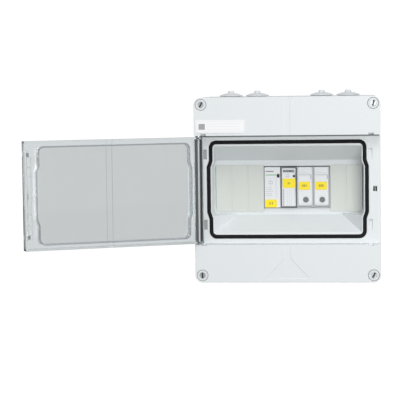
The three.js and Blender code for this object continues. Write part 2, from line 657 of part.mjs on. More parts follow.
// Yellow device tags, on the faces: [centre X, face Y, X range, Z range].
const TAGS = [
  { x: [RELAY_X - 7.9, RELAY_X + 4.8], face: DEVICE_FACE, z: [-22.2, -13.4] },
  { x: [SURGE_X - 6.6, SURGE_X + 7.4], face: CARTRIDGE.front, z: [-0.6, 9.6] },
  { x: [FUSE_X[0] - 6.7, FUSE_X[0] + 5.4], face: DRAWER.front, z: [-2.8, 6] },
  { x: [FUSE_X[1] - 6.7, FUSE_X[1] + 5.9], face: DRAWER.front, z: [-2.8, 6] },
];
const TAG_PLAY = 0.15;
const TAG_THICK = 0.4;

const deviceTag = ({ x, face, z }) => block(x, [face - TAG_PLAY, face - TAG_PLAY - TAG_THICK], z);

// ---------------------------------------------------------------- earth bar and wiring

const EARTH = { z: -72, half: 42, bar: [-13, -21], holes: 9 };

function earthHolder() {
  const foot = block(both(EARTH.half + 6), [-BACK_WALL - GAP, -7], around(EARTH.z, 6));
  const posts = [-1, 1].map((side) => block(
    [side * (EARTH.half + GAP), side * (EARTH.half + 6)], [-6, -19], around(EARTH.z, 4.5),
  ));
  const rests = [-1, 1].map((side) => block(
    [side * (EARTH.half - 8), side * (EARTH.half + 1)], [-6, EARTH.bar[0] + GAP], around(EARTH.z, 3),
  ));
  return join(foot, ...posts, ...rests);
}

const earthHoleX = (index) => (index - (EARTH.holes - 1) / 2) * 9;

// Brass bar with a wire hole and a slotted clamping screw at every place.
function earthBar() {
  const [back, front] = EARTH.bar;
  const places = Array.from({ length: EARTH.holes }, (_, i) => earthHoleX(i));
  const bar = block(both(EARTH.half), [back, front], around(EARTH.z, 3.6));
  const screws = places.map((x) => rodAlongY(2.4, x, [front + OVER, front - 1.8], EARTH.z, 12));
  const holes = places.map((x) => rodAlongZ(
    ENTRY_RADIUS, x, (back + front) / 2, around(EARTH.z, 5), 10,
  ));
  const slots = places.map((x) => block(around(x, 0.45), [front - 1, front - 3], around(EARTH.z, 3)));
  return cut(join(bar, ...screws), ...holes, ...slots);
}

const BUSBAR = { z: [-49.4, -47.8], y: [-30, -38], pin: 1 };

// Copper comb that links the lower terminals of both fuse holders.
function linkBusbar() {
  const bar = block([FUSE_X[0] - 5, FUSE_X[1] + 5], BUSBAR.y, BUSBAR.z);
  const pins = FUSE_X.map((x) => block(
    around(x, BUSBAR.pin), around(TERMINAL_Y, BUSBAR.pin), [BUSBAR.z[1] - OVER, -BODY_HALF + 5],
  ));
  return join(bar, ...pins);
}

const EARTH_HOLE_Y = (EARTH.bar[0] + EARTH.bar[1]) / 2;
const INSIDE_TERMINAL = BODY_HALF - 6;

// Each route runs from one terminal entry to the next, straight out of both.
const WIRES = {
  wire_surge_feed: {
    color: 0xb3221c,
    points: [
      [FUSE_X[0], TERMINAL_Y, INSIDE_TERMINAL], [FUSE_X[0], TERMINAL_Y, 52], [FUSE_X[0] - 2, TERMINAL_Y - 1, 60],
      [FUSE_X[0] - 9, TERMINAL_Y - 2, 65], [SURGE_X + 2, TERMINAL_Y - 1, 60], [SURGE_X, TERMINAL_Y, 52],
      [SURGE_X, TERMINAL_Y, INSIDE_TERMINAL],
    ],
  },
  wire_relay_feed: {
    color: 0xb3221c,
    points: [
      [FUSE_X[1], TERMINAL_Y, INSIDE_TERMINAL], [FUSE_X[1], TERMINAL_Y, 54], [FUSE_X[1] - 4, TERMINAL_Y + 6, 66],
      [FUSE_X[1] - 16, TERMINAL_Y + 9, 73], [RELAY_X + 16, TERMINAL_Y + 9, 73], [RELAY_X + 4, TERMINAL_Y + 6, 66],
      [RELAY_X, TERMINAL_Y, 54], [RELAY_X, TERMINAL_Y, INSIDE_TERMINAL],
    ],
  },
  wire_surge_earth: {
    color: 0x4c9a3a,
    points: [
      [SURGE_X, TERMINAL_Y, -INSIDE_TERMINAL], [SURGE_X, TERMINAL_Y, -51], [SURGE_X, TERMINAL_Y + 4, -57],
      [earthHoleX(4), EARTH_HOLE_Y - 3, -62], [earthHoleX(4), EARTH_HOLE_Y, -66],
      [earthHoleX(4), EARTH_HOLE_Y, EARTH.z],
    ],
  },
  wire_relay_return: {
    color: 0x2c5aa0,
    points: [
      [RELAY_X, TERMINAL_Y, -INSIDE_TERMINAL], [RELAY_X, TERMINAL_Y, -51], [RELAY_X, TERMINAL_Y + 4, -57],
      [earthHoleX(2), EARTH_HOLE_Y - 3, -62], [earthHoleX(2), EARTH_HOLE_Y, -66],
      [earthHoleX(2), EARTH_HOLE_Y, EARTH.z],
    ],
  },
};

function wire({ points }) {
  const path = new THREE.CatmullRomCurve3(points.map((point) => new THREE.Vector3(...point)), false, 'centripetal');
  const section = new THREE.Shape();
  section.absarc(0, 0, WIRE_RADIUS, 0, Math.PI * 2);
  const steps = Math.round(path.getLength() / (WIRE_RADIUS * 2));
  const options = { extrudePath: path, steps, curveSegments: 4, bevelEnabled: false };
  return new THREE.ExtrudeGeometry(section, options);
}

// ---------------------------------------------------------------- assembly

const group = new THREE.Group();
group.name = 'dc_combiner_box';

function add(name, shape, look, parent = group) {
  const geometry = shape.isBufferGeometry ? shape : geometryOf(shape);
  const mesh = new THREE.Mesh(geometry, new THREE.MeshStandardMaterial(look));
  mesh.name = name;
  parent.add(mesh);
  return mesh;
}

function addEnclosure() {
  const slotAngles = { top_left: 25, top_right: 15, bottom_left: 0, bottom_right: 30 };
  add('base_box', baseBack(), HOUSING);
  add('base_walls', baseWalls(), HOUSING);
  add('cover_seal', coverSeal(), BLACK_RUBBER);
  const cover = coverPieces();
  add('front_cover', cover.floor, HOUSING);
  add('cover_skirt', cover.skirt, HOUSING);
  add('cover_top_end', cover.top, HOUSING);
  add('cover_bottom_end', cover.bottom, HOUSING);
  add('window_frame', windowFrame(), HOUSING);
  add('window_seal', doorGasket(), BLACK_RUBBER);
  add('name_plate', namePlate(), WHITE_TAG);
  for (const [sx, sz, place] of CORNERS) {
    add(`cover_screw_${place}`, coverScrew(sx, sz, slotAngles[place]), HOUSING);
  }
  ENTRY_PLACES.forEach((x, i) => add(`grommet_${i + 1}`, grommet().translate(x, ENTRY_Y, 0), SOFT_GREY));
}

// The door and its latch are drawn shut and turned open about the hinge axis.
function addDoor() {
  const swing = new THREE.Group();
  const shut = new THREE.Group();
  swing.position.set(DOOR_AXIS.x, DOOR_AXIS.y, 0);
  swing.rotation.z = -THREE.MathUtils.degToRad(DOOR_OPEN_DEG);
  shut.position.set(-DOOR_AXIS.x, -DOOR_AXIS.y, 0);
  swing.add(shut);
  group.add(swing);
  add('door', door(), SMOKE_CLEAR, shut);
  add('door_rib', doorRib(), SMOKE_CLEAR, shut);
  add('door_latch', doorLatch(), SMOKE_CLEAR, shut);
  add('hinge_pin_top', hingePin(1), ZINC);
  add('hinge_pin_bottom', hingePin(-1), ZINC);
}

function addRail() {
  add('din_rail', dinRail(), ZINC);
  add('rail_screw_left', railScrew(-1), ZINC);
  add('rail_screw_right', railScrew(1), ZINC);
  [RELAY_X, SURGE_X, ...FUSE_X].forEach((x, i) => add(`rail_clip_${i + 1}`, railClip(x), DARK_PLASTIC));
  add('blanking_strip_left', blankingStrip(0, 3), STRIP_GREY);
  add('blanking_strip_right', blankingStrip(7, 2), STRIP_GREY);
}

function addDevices() {
  add('relay_body', relayBody(), DEVICE_WHITE);
  add('relay_button', relayButton(), DARK_PLASTIC);
  add('surge_base', surgeBase(), DARK_PLASTIC);
  add('surge_cartridge', surgeCartridge(), DEVICE_WHITE);
  add('surge_status', surgeStatus(), BLACK_RUBBER);
  FUSE_X.forEach((x, i) => {
    add(`fuse_base_${i + 1}`, fuseBase(x), DEVICE_WHITE);
    add(`fuse_drawer_${i + 1}`, fuseDrawer(x), DEVICE_WHITE);
    add(`fuse_lens_${i + 1}`, fuseLens(x), GREY_LENS);
    add(`fuse_link_${i + 1}`, fuseLink(x), WHITE_TAG);
  });
  TAGS.forEach((tag, i) => add(`device_tag_${i + 1}`, deviceTag(tag), YELLOW_TAG));
}

function addWiring() {
  add('earth_bar_holder', earthHolder(), DARK_PLASTIC);
  add('earth_bar', earthBar(), BRASS);
  add('link_busbar', linkBusbar(), COPPER);
  for (const [name, route] of Object.entries(WIRES)) add(name, wire(route), wireFinish(route.color));
}

addEnclosure();
addDoor();
addRail();
addDevices();
addWiring();

export default group;
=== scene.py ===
"""Looks for a wall-mounted DC combiner box: enclosure, clear window door, rail devices, wiring.

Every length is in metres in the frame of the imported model: +X right, +Z up, the front looks
along -Y and the back lies in the plane Y = 0.
"""

import json
import logging
import math
from dataclasses import dataclass, field
from enum import Enum
from typing import Any, Iterable, Mapping, Sequence

import bmesh
import bpy
import numpy as np
from mathutils import Matrix, Vector

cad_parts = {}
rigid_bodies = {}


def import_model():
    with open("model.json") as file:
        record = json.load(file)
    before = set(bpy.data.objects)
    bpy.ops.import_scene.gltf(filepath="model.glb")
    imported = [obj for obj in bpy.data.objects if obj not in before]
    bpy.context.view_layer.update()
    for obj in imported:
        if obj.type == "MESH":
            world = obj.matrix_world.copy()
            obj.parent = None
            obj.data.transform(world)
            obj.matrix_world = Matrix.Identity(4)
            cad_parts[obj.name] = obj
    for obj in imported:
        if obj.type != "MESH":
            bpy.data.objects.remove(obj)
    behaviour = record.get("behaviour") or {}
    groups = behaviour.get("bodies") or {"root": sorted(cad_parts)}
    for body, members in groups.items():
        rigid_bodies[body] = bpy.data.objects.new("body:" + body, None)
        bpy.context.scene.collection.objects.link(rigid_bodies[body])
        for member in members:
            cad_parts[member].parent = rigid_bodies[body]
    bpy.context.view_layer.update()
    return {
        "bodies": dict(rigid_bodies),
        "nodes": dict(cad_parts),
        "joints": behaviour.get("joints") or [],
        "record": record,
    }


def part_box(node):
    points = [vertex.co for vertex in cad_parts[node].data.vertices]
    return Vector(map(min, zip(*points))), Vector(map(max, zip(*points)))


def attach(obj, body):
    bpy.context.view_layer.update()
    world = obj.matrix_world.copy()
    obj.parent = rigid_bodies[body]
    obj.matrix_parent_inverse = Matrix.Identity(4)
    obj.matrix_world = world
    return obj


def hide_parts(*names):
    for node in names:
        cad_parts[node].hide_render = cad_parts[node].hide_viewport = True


LOG = logging.getLogger("combiner_box")
MM = 0.001
Colour = tuple[float, float, float]
Span = tuple[float, float]
WHITE_LIGHT = (1.0, 1.0, 1.0, 1.0)


# --------------------------------------------------------------------------- shader maths


class Signal:
    """A number that a shader works out: a socket whose arithmetic adds Math nodes."""

    def __init__(self, bench: "Bench", socket: bpy.types.NodeSocket) -> None:
        """Wraps a socket of the bench's tree."""
        self.bench = bench
        self.socket = socket

    def _math(self, operation: str, first: Any, second: Any = 0.0) -> "Signal":
        """Adds one Math node.

        Args:
            operation: the node's operation.
            first: a number or a Signal.
            second: a number or a Signal.

        Returns:
            The node's result.
        """
        return self.bench.add("ShaderNodeMath", {"operation": operation}, {0: first, 1: second}).out("Value")

    def __add__(self, other: Any) -> "Signal":
        """Returns self + other."""
        return self._math("ADD", self, other)

    def __radd__(self, other: Any) -> "Signal":
        """Returns other + self."""
        return self._math("ADD", other, self)

    def __sub__(self, other: Any) -> "Signal":
        """Returns self - other."""
        return self._math("SUBTRACT", self, other)

    def __rsub__(self, other: Any) -> "Signal":
        """Returns other - self."""
        return self._math("SUBTRACT", other, self)

    def __mul__(self, other: Any) -> "Signal":
        """Returns self * other."""
        return self._math("MULTIPLY", self, other)

    def __rmul__(self, other: Any) -> "Signal":
        """Returns other * self."""
        return self._math("MULTIPLY", other, self)

    def __lt__(self, other: Any) -> "Signal":
        """Returns 1 where self is less than other, else 0."""
        return self._math("LESS_THAN", self, other)

    def __gt__(self, other: Any) -> "Signal":
        """Returns 1 where self is greater than other, else 0."""
        return self._math("GREATER_THAN", self, other)

    def __abs__(self) -> "Signal":
        """Returns the size of self without its sign."""
        return self._math("ABSOLUTE", self)

    def wrap(self, length: float) -> "Signal":
        """Returns self modulo a length, never negative."""
        return self._math("FLOORED_MODULO", self, length)


@dataclass(frozen=True)
class Placed:
    """A node that has been added, with its outputs as signals."""

    bench: "Bench"
    node: bpy.types.Node

    def out(self, name: str) -> Signal:
        """Returns the output socket of that name as a signal."""
        return Signal(self.bench, self.node.outputs[name])


class Bench:
    """The node tree of one material or world, with the one method that adds a node."""

    def __init__(self, name: str, world: bool = False) -> None:
        """Starts an empty material of that name, or an empty world."""
        self.material = (bpy.data.worlds if world else bpy.data.materials).new(name)
        self.material.use_nodes = True
        self.tree = self.material.node_tree
        self.tree.nodes.clear()

    def add(self, kind: str, settings: Mapping[str, Any], inputs: Mapping[Any, Any]) -> Placed:
        """Adds a node, sets it up, then fills its sockets.

        Args:
            kind: the node's type, such as ShaderNodeMath.
            settings: attributes of the node, which are set first.
            inputs: socket name or index to a value or a Signal.

        Returns:
            The placed node.
        """
        node = self.tree.nodes.new(kind)
        for key, value in settings.items():
            setattr(node, key, value)
        for key, value in inputs.items():
            if isinstance(value, Signal):
                self.tree.links.new(value.socket, node.inputs[key])
            else:
                node.inputs[key].default_value = value
        return Placed(self, node)

    def place(self) -> Signal:
        """Returns the Object coordinates."""
        return self.add("ShaderNodeTexCoord", {}, {}).out("Object")

    def axes(self, centre: Sequence[float] = (0.0, 0.0, 0.0)) -> tuple[Signal, Signal, Signal]:
        """Returns X, Y and Z measured from a centre."""
        shifted = self.add("ShaderNodeVectorMath", {"operation": "SUBTRACT"},
                           {0: self.place(), 1: tuple(centre)}).out("Vector")
        parts = self.add("ShaderNodeSeparateXYZ", {}, {"Vector": shifted})
        return parts.out("X"), parts.out("Y"), parts.out("Z")

    def noise(self, size: float, detail: float = 2.0, stretch: Sequence[float] = (1, 1, 1)) -> Signal:
        """Returns a noise from 0 to 1.

        Args:
            size: the length of one blotch.
            detail: how many finer layers it has.
            stretch: how much denser it is along X, Y and Z.
        """
        scaled = self.add("ShaderNodeMapping", {}, {"Vector": self.place(), "Scale": tuple(stretch)})
        return self.add("ShaderNodeTexNoise", {}, {
            "Vector": scaled.out("Vector"), "Scale": 1.0 / size, "Detail": detail,
        }).out("Fac")

    def blend(self, amount: Any, first: Any, second: Any) -> Signal:
        """Returns a colour that goes from first to second as the amount goes from 0 to 1."""
        colours = [value if isinstance(value, Signal) else (*value, 1.0) for value in (first, second)]
        node = self.add("ShaderNodeMix", {"data_type": "RGBA"}, {0: amount, 6: colours[0], 7: colours[1]})
        return Signal(self, node.node.outputs[2])

    def bump(self, height: Signal, depth: float, strength: float = 1.0) -> Signal:
        """Returns a normal roughened by a height of 0 to 1 times a depth."""
        return self.add("ShaderNodeBump", {}, {
            "Height": height, "Distance": depth, "Strength": strength,
        }).out("Normal")

    def looked_at(self) -> Signal:
        """Returns 1 for a ray from the eye, straight or through something clear, else 0."""
        path = self.add("ShaderNodeLightPath", {}, {})
        return path.out("Is Camera Ray") + path.out("Is Transmission Ray")

    def close(self, **sockets: Any) -> bpy.types.Material:
        """Ends the tree in a Principled shader.

        Args:
            **sockets: Principled sockets, with underscores for spaces.

        Returns:
            The finished material.
        """
        inputs = {key.replace("_", " "): value for key, value in sockets.items()}
        shader = self.add("ShaderNodeBsdfPrincipled", {}, inputs)
        end = self.tree.nodes.new("ShaderNodeOutputMaterial")
        self.tree.links.new(shader.node.outputs["BSDF"], end.inputs["Surface"])
        return self.material


# --------------------------------------------------------------------------- finishes


def shaded(colour: Colour, factor: float, lift: float = 0.0) -> Colour:
    """Returns a colour with each channel times a factor, plus a lift."""
    return tuple(channel * factor + lift for channel in colour)


@dataclass(frozen=True)
class Moulded:
    """Moulded plastic: one colour, faintly mottled, with a fine eroded grain."""

    name: str
    slot: str
    colour: Colour
    roughness: float = 0.42
    mottle: float = 0.03
    grain: float = 0.35 * MM
    relief: float = 0.012 * MM
    coat: float = 0.0

    def material(self) -> bpy.types.Material:
        """Returns the plastic as a material."""
        bench = Bench(self.name)
        cloud = bench.noise(40 * MM, 3.0)
        grain = bench.noise(self.grain, 1.0)
        darker = shaded(self.colour, 1.0 - self.mottle)
        return bench.close(
            Base_Color=bench.blend(cloud, darker, self.colour),
            Roughness=self.roughness + 0.06 * (grain - 0.5) + 0.05 * (cloud - 0.5),
            Coat_Weight=self.coat,
            Normal=bench.bump(grain, self.relief),
        )


@dataclass(frozen=True)
class ClearSheet:
    """Clear, lightly smoked polycarbonate, polished, a little paler outside its sealing rib."""

    name: str
    slot: str
    colour: Colour
    margin: Colour
    hinge: tuple[float, float] = (-95.2 * MM, -109.2 * MM)
    opened: float = 155.5
    pane: tuple[float, float] = (83.4 * MM, 51.4 * MM)
    roughness: float = 0.02

    def material(self) -> bpy.types.Material:
        """Returns the clear plastic; the pane is found by its distance along the opened door."""
        bench = Bench(self.name)
        x, y, z = bench.axes((*self.hinge, 0.0))
        angle = math.radians(self.opened)
        along = math.cos(angle) * x - math.sin(angle) * y
        inside = (abs(along + self.hinge[0]) < self.pane[0]) * (abs(z) < self.pane[1])
        smear = bench.noise(30 * MM, 3.0)
        tint = shaded(self.colour, 0.97)
        pane = bench.blend(smear, tint, self.colour)
        return bench.close(
            Base_Color=bench.blend(inside, self.margin, pane),
            Roughness=self.roughness + 0.02 * smear,
            IOR=1.5,
            Transmission_Weight=1.0,
        )


@dataclass(frozen=True)
class FrostedClear:
    """Clear plastic with a frosted, milky look: part of the light goes through it."""

    name: str
    slot: str
    colour: Colour
    clearness: float = 0.65

    def material(self) -> bpy.types.Material:
        """Returns the frosted plastic as a material."""
        bench = Bench(self.name)
        streaks = bench.noise(5 * MM, 2.0, (1, 1, 0.35))
        darker = shaded(self.colour, 0.88)
        return bench.close(
            Base_Color=bench.blend(streaks, darker, self.colour),
            Roughness=0.12 + 0.2 * streaks,
            IOR=1.5,
            Transmission_Weight=self.clearness,
        )


@dataclass(frozen=True)
class FoamedRubber:
    """Black foamed seal: matt, with open pores."""

    name: str
    slot: str
    colour: Colour

    def material(self) -> bpy.types.Material:
        """Returns the foam as a material."""
        bench = Bench(self.name)
        pores = bench.noise(0.7 * MM, 3.0)
        lighter = shaded(self.colour, 2.4, 0.004)
        return bench.close(
            Base_Color=bench.blend(pores, self.colour, lighter),
            Roughness=0.72 + 0.15 * pores,
            Specular_IOR_Level=0.22,
            Normal=bench.bump(pores, 0.12 * MM),
        )


@dataclass(frozen=True)
class DrawnMetal:
    """Metal with fine lines along X and a slightly uneven shine."""

    name: str
    slot: str
    colour: Colour
    roughness: float = 0.3
    tarnish: Colour = (0.4, 0.4, 0.4)

    def material(self) -> bpy.types.Material:
        """Returns the metal as a material."""
        bench = Bench(self.name)
        lines = bench.noise(0.6 * MM, 2.0, (0.04, 1, 1))
        cloud = bench.noise(12 * MM, 3.0)
        return bench.close(
            Base_Color=bench.blend(cloud * 0.35, self.colour, self.tarnish),
            Metallic=1.0,
            Roughness=self.roughness + 0.12 * (lines - 0.5) + 0.1 * cloud,
            Normal=bench.bump(lines, 0.01 * MM),
        )


@dataclass(frozen=True)
class Insulation:
    """Wire insulation: satin plastic in one colour, or with stripes of a second one."""

    name: str
    slot: str
    colour: Colour
    stripe: Colour | None = None

    def material(self) -> bpy.types.Material:
        """Returns the insulation as a material; stripes run along the wire in its own UV map."""
        bench = Bench(self.name)
        cloud = bench.noise(3 * MM, 2.0)
        colour = bench.blend(cloud, shaded(self.colour, 0.9), self.colour)
        if self.stripe is not None:
            around = bench.add("ShaderNodeUVMap", {"uv_map": "UVMap"}, {}).out("UV")
            parts = bench.add("ShaderNodeSeparateXYZ", {}, {"Vector": around})
            colour = bench.blend(parts.out("X").wrap(0.5) < 0.2, colour, self.stripe)
        return bench.close(
            Base_Color=colour,
            Roughness=0.34 + 0.08 * cloud,
            Normal=bench.bump(cloud, 0.02 * MM),
        )


@dataclass(frozen=True)
class Film:
    """Printed film or ink: even colour, with faint fibres and a soft sheen."""

    name: str
    slot: str
    colour: Colour
    roughness: float = 0.38

    def material(self) -> bpy.types.Material:
        """Returns the film as a material."""
        bench = Bench(self.name)
        fibre = bench.noise(1.2 * MM, 3.0)
        darker = shaded(self.colour, 0.95)
        return bench.close(
            Base_Color=bench.blend(fibre, darker, self.colour),
            Roughness=self.roughness + 0.08 * (fibre - 0.5),
            Normal=bench.bump(fibre, 0.004 * MM),
        )


@dataclass(frozen=True)
class ScrewPlastic:
    """Quarter-turn screw: light plastic ring round a darker, slotted metal centre, with painted shade on the
    slot's floor.
    """

    name: str
    slot: str
    colour: Colour
    centre: tuple[float, float, float]
    core: Colour = (0.46, 0.48, 0.49)
    core_radius: float = 3.35 * MM
    # depth past which the core is painted near-black: painted shade in the slot
    floor: float = 0.9 * MM

    def material(self) -> bpy.types.Material:
        """Returns the screw's material, its colours split by the distance from its own axis and by depth, the
        slot's floor near-black as painted shade.
        """
        bench = Bench(self.name)
        x, y, z = bench.axes(self.centre)
        grain = bench.noise(0.5 * MM, 2.0)
        inside = (x * x + z * z) < self.core_radius ** 2
        # painted shade: core faces deeper than the floor depth turn near-black
        core_slot_shade = inside * (y > self.floor)
        body = bench.blend(grain, shaded(self.colour, 0.95), self.colour)
        face = bench.blend(inside, body, self.core)
        return bench.close(
            Base_Color=bench.blend(core_slot_shade, face, (0.05, 0.05, 0.055)),
            Metallic=inside * 0.6,
            Roughness=0.42 - 0.12 * inside + 0.08 * (grain - 0.5),
            Normal=bench.bump(grain, 0.015 * MM),
        )


@dataclass(frozen=True)
class CappedTube:
    """Fuse link: ceramic in the middle, plated caps at both ends along Z."""

    name: str
    slot: str
    ceramic: Colour
    cap: Colour
    cap_start: float

    def material(self) -> bpy.types.Material:
        """Returns the link's material."""
        bench = Bench(self.name)
        _, _, z = bench.axes()
        grain = bench.noise(0.8 * MM, 2.0)
        capped = abs(z) > self.cap_start
        body = bench.blend(grain, shaded(self.ceramic, 0.94), self.ceramic)
        return bench.close(
            Base_Color=bench.blend(capped, body, self.cap),
            Metallic=capped * 1.0,
            Roughness=0.5 - 0.22 * capped + 0.08 * (grain - 0.5),
            Normal=bench.bump(grain, 0.01 * MM),
        )


class Stock(Enum):
    """The finishes that several pieces share."""

    HOUSING = Moulded("housing_plastic", "housing_grey", (0.768, 0.80, 0.81), 0.46, 0.02)
    POCKET_SHADE_AND_WEB = Moulded("pocket_shade_and_web_plastic", "housing_grey", (0.36, 0.38, 0.385), 0.5, 0.05)
    # dark grey, used as partly painted shade in the left floor pockets and for the latch web
    STRIP = Moulded("strip_plastic", "strip_grey", (0.665, 0.69, 0.65), 0.42, 0.03)
    DEVICE = Moulded("device_plastic", "device_white", (0.80, 0.815, 0.83), 0.4, 0.03)
    DARK = Moulded("dark_plastic", "device_dark", (0.075, 0.08, 0.085), 0.42, 0.12)
    # dark grey of the surge socket, also used for the painted shadow under the cover's step
    SHADE = Moulded("surge_plastic_and_step_shadow", "device_dark", (0.20, 0.21, 0.22), 0.42, 0.08)
    MEMBRANE = Moulded("membrane_rubber", "membrane_grey", (0.72, 0.74, 0.75), 0.6, 0.04, 0.8 * MM)
    LENS = Moulded("indicator_lens", "lens_grey", (0.21, 0.22, 0.235), 0.18, 0.25, 1.6 * MM, 0.03 * MM, 0.6)
    CLEAR = ClearSheet("smoked_clear", "door_clear", (0.548, 0.574, 0.582), (0.615, 0.648, 0.662))
    CLEAR_LATCH = FrostedClear("frosted_latch", "door_clear", (0.93, 0.95, 0.955))
    SEAL = FoamedRubber("seal_foam", "seal_black", (0.004, 0.0042, 0.005))
    STATUS = Film("status_window", "seal_black", (0.012, 0.012, 0.014), 0.25)
    YELLOW = Film("yellow_film", "tag_yellow", (1.0, 0.80, 0.0))
    WHITE = Film("white_film", "label_white", (0.93, 0.935, 0.94))
    # black ink for print, also painted shade in terminal slots and a painted shadow line on the hinge barrel
    BLACK_INK_AND_SHADE = Film("black_ink_and_painted_shade", "device_dark", (0.03, 0.03, 0.035))
    GREY_INK = Film("grey_ink", "device_dark", (0.36, 0.38, 0.40))
    # pale ink for print, also a painted highlight on the hinge barrel
    PALE_INK_AND_HIGHLIGHT = Film("pale_ink_and_painted_highlight", "device_dark", (0.55, 0.57, 0.59))
    # painted shade: the dark edge of the thick clear hinge barrel
    BARREL_SHADE = Film("barrel_painted_shade", "door_clear", (0.115, 0.135, 0.13), 0.15)
    RULE_INK = Film("rule_ink", "device_dark", (0.74, 0.76, 0.78))
    GREEN_INK = Film("green_ink", "wire_green", (0.16, 0.50, 0.22))
    ZINC = DrawnMetal("zinc_plate", "zinc_steel", (0.66, 0.67, 0.68), 0.32, (0.45, 0.45, 0.44))
    BRASS = DrawnMetal("brass_bar", "brass", (0.70, 0.52, 0.22), 0.3, (0.42, 0.30, 0.12))
    COPPER = DrawnMetal("copper_comb", "copper", (0.80, 0.42, 0.27), 0.28, (0.45, 0.22, 0.14))
    RED = Insulation("red_wire", "wire_red", (0.50, 0.02, 0.015))
    BLUE = Insulation("blue_wire", "wire_blue", (0.02, 0.09, 0.38))
    EARTH = Insulation("earth_wire", "wire_green", (0.05, 0.32, 0.05), (0.85, 0.72, 0.03))


class Paintbox:
    """Builds each finish once and gives it to pieces."""

    def __init__(self) -> None:
        """Starts with no material made."""
        self._made: dict[str, bpy.types.Material] = {}

    def dress(self, piece: bpy.types.Object, finish: Any) -> None:
        """Gives a piece its one material.

        Args:
            piece: the piece.
            finish: a Stock, or a finish of its own.
        """
        look = finish.value if isinstance(finish, Stock) else finish
        if look.name not in self._made:
            self._made[look.name] = look.material()
        piece.data.materials.clear()
        piece.data.materials.append(self._made[look.name])


# --------------------------------------------------------------------------- surfaces


def show(name: str, data: bpy.types.ID) -> bpy.types.Object:
    """Puts a mesh, a text, a lamp or a camera into the scene as an object of that name."""
    thing = bpy.data.objects.new(name, data)
    bpy.context.scene.collection.objects.link(thing)
    return thing


def link_mesh(name: str, points: np.ndarray, faces: np.ndarray) -> bpy.types.Object:
    """Makes an object from points and faces.

    Args:
        name: the object's name.
        points: coordinates, three to a point.
        faces: point numbers, three or four to a face.

    Returns:
        The object.
    """
    mesh = bpy.data.meshes.new(name)
    mesh.from_pydata(points.reshape(-1, 3).tolist(), [], faces.tolist())
    mesh.validate()
    return show(name, mesh)


def grid_faces(rows: int, columns: int, wrap_rows: bool, wrap_columns: bool) -> np.ndarray:
    """Returns the quads of a grid: cell (i, j) joins points i, i+1 and j, j+1, wrapped as asked.

    Args:
        rows: how many rows of points.
        columns: how many points in a row.
        wrap_rows: whether the last row joins the first.
        wrap_columns: whether each row closes on itself.

    Returns:
        Point numbers of shape (n, 4).
    """
    i, j = np.meshgrid(np.arange(rows - (not wrap_rows)), np.arange(columns - (not wrap_columns)),
                       indexing="ij")
    after_i, after_j = (i + 1) % rows, (j + 1) % columns
    corners = [i * columns + j, i * columns + after_j, after_i * columns + after_j, after_i * columns + j]
    return np.stack(corners, axis=-1).reshape(-1, 4)


def tidy_surface(piece: bpy.types.Object, smooth_angle: float = 35.0) -> None:
    """Merges doubled points, turns every face outwards and smooths all but the sharp edges.

    Args:
        piece: the object to tidy.
        smooth_angle: the turn in degrees past which an edge stays sharp.
    """
    work = bmesh.new()
    work.from_mesh(piece.data)
    bmesh.ops.remove_doubles(work, verts=work.verts, dist=0.002 * MM)
    bmesh.ops.recalc_face_normals(work, faces=work.faces)
    work.to_mesh(piece.data)
    work.free()
    piece.data.shade_smooth()
    piece.data.set_sharp_from_angle(angle=math.radians(smooth_angle))


def turned(name: str, profile: np.ndarray, centre: Vector, axis: str = "Z",
           turns: int = 56) -> bpy.types.Object:
    """Makes a turned piece: the profile (radius, height) swept round an axis through a centre.

    A point is centre + radius (cos a, sin a) across the axis + height along it, with the
    profile's ends on the axis, so both poles close.

    Args:
        name: the piece's name.
        profile: array of (radius, height) pairs.
        centre: a point on the axis.
        axis: Z, or Y with heights counted towards the front.
        turns: how many steps the circle has.

    Returns:
        The piece.
    """
    angle = np.linspace(0.0, 2.0 * np.pi, turns, endpoint=False)[None, :]
    radius, height = profile[:, :1], profile[:, 1:]
    across, beside = radius * np.cos(angle), radius * np.sin(angle)
    along = np.broadcast_to(height, across.shape)
    stack = (across, beside, along) if axis == "Z" else (across, -along, beside)
    points = np.stack(stack, axis=-1) + np.array(centre)
    piece = link_mesh(name, points, grid_faces(len(profile), turns, False, True))
    tidy_surface(piece)
    return piece


def swept(name: str, path: np.ndarray, across: np.ndarray, lift: np.ndarray,
          section: np.ndarray, closed: bool) -> bpy.types.Object:
    """Makes a section carried along a path.

    A point is path + section x times the across vector + section y times the lift vector.

    Args:
        name: the piece's name.
        path: (n, 3) points.
        across: (n, 3) unit vectors, the section's first direction.
        lift: (n, 3) unit vectors, its second direction.
        section: (m, 2) closed outline.
        closed: whether the path closes on itself.

    Returns:
        The piece.
    """
    sides = section[None, :, :1] * across[:, None, :] + section[None, :, 1:] * lift[:, None, :]
    points = path[:, None, :] + sides
    faces = grid_faces(len(path), len(section), closed, True)
    if not closed:
        middle = np.stack([path[0], path[-1]])
        points = np.concatenate([points.reshape(-1, 3), middle])
        rim = np.arange(len(section))
        after = (rim + 1) % len(section)
        count = len(path) * len(section)
        last = (len(path) - 1) * len(section)
        start = np.stack([rim, after, np.full_like(rim, count), np.full_like(rim, count)], axis=-1)
        tip = np.full_like(rim, count + 1)
        end = np.stack([last + after, last + rim, tip, tip], axis=-1)
        faces = np.concatenate([faces, start, end])
        faces = [list(dict.fromkeys(face)) for face in faces.tolist()]
        faces = np.array(faces, dtype=object)
    piece = link_mesh(name, points, faces)
    tidy_surface(piece)
    return piece


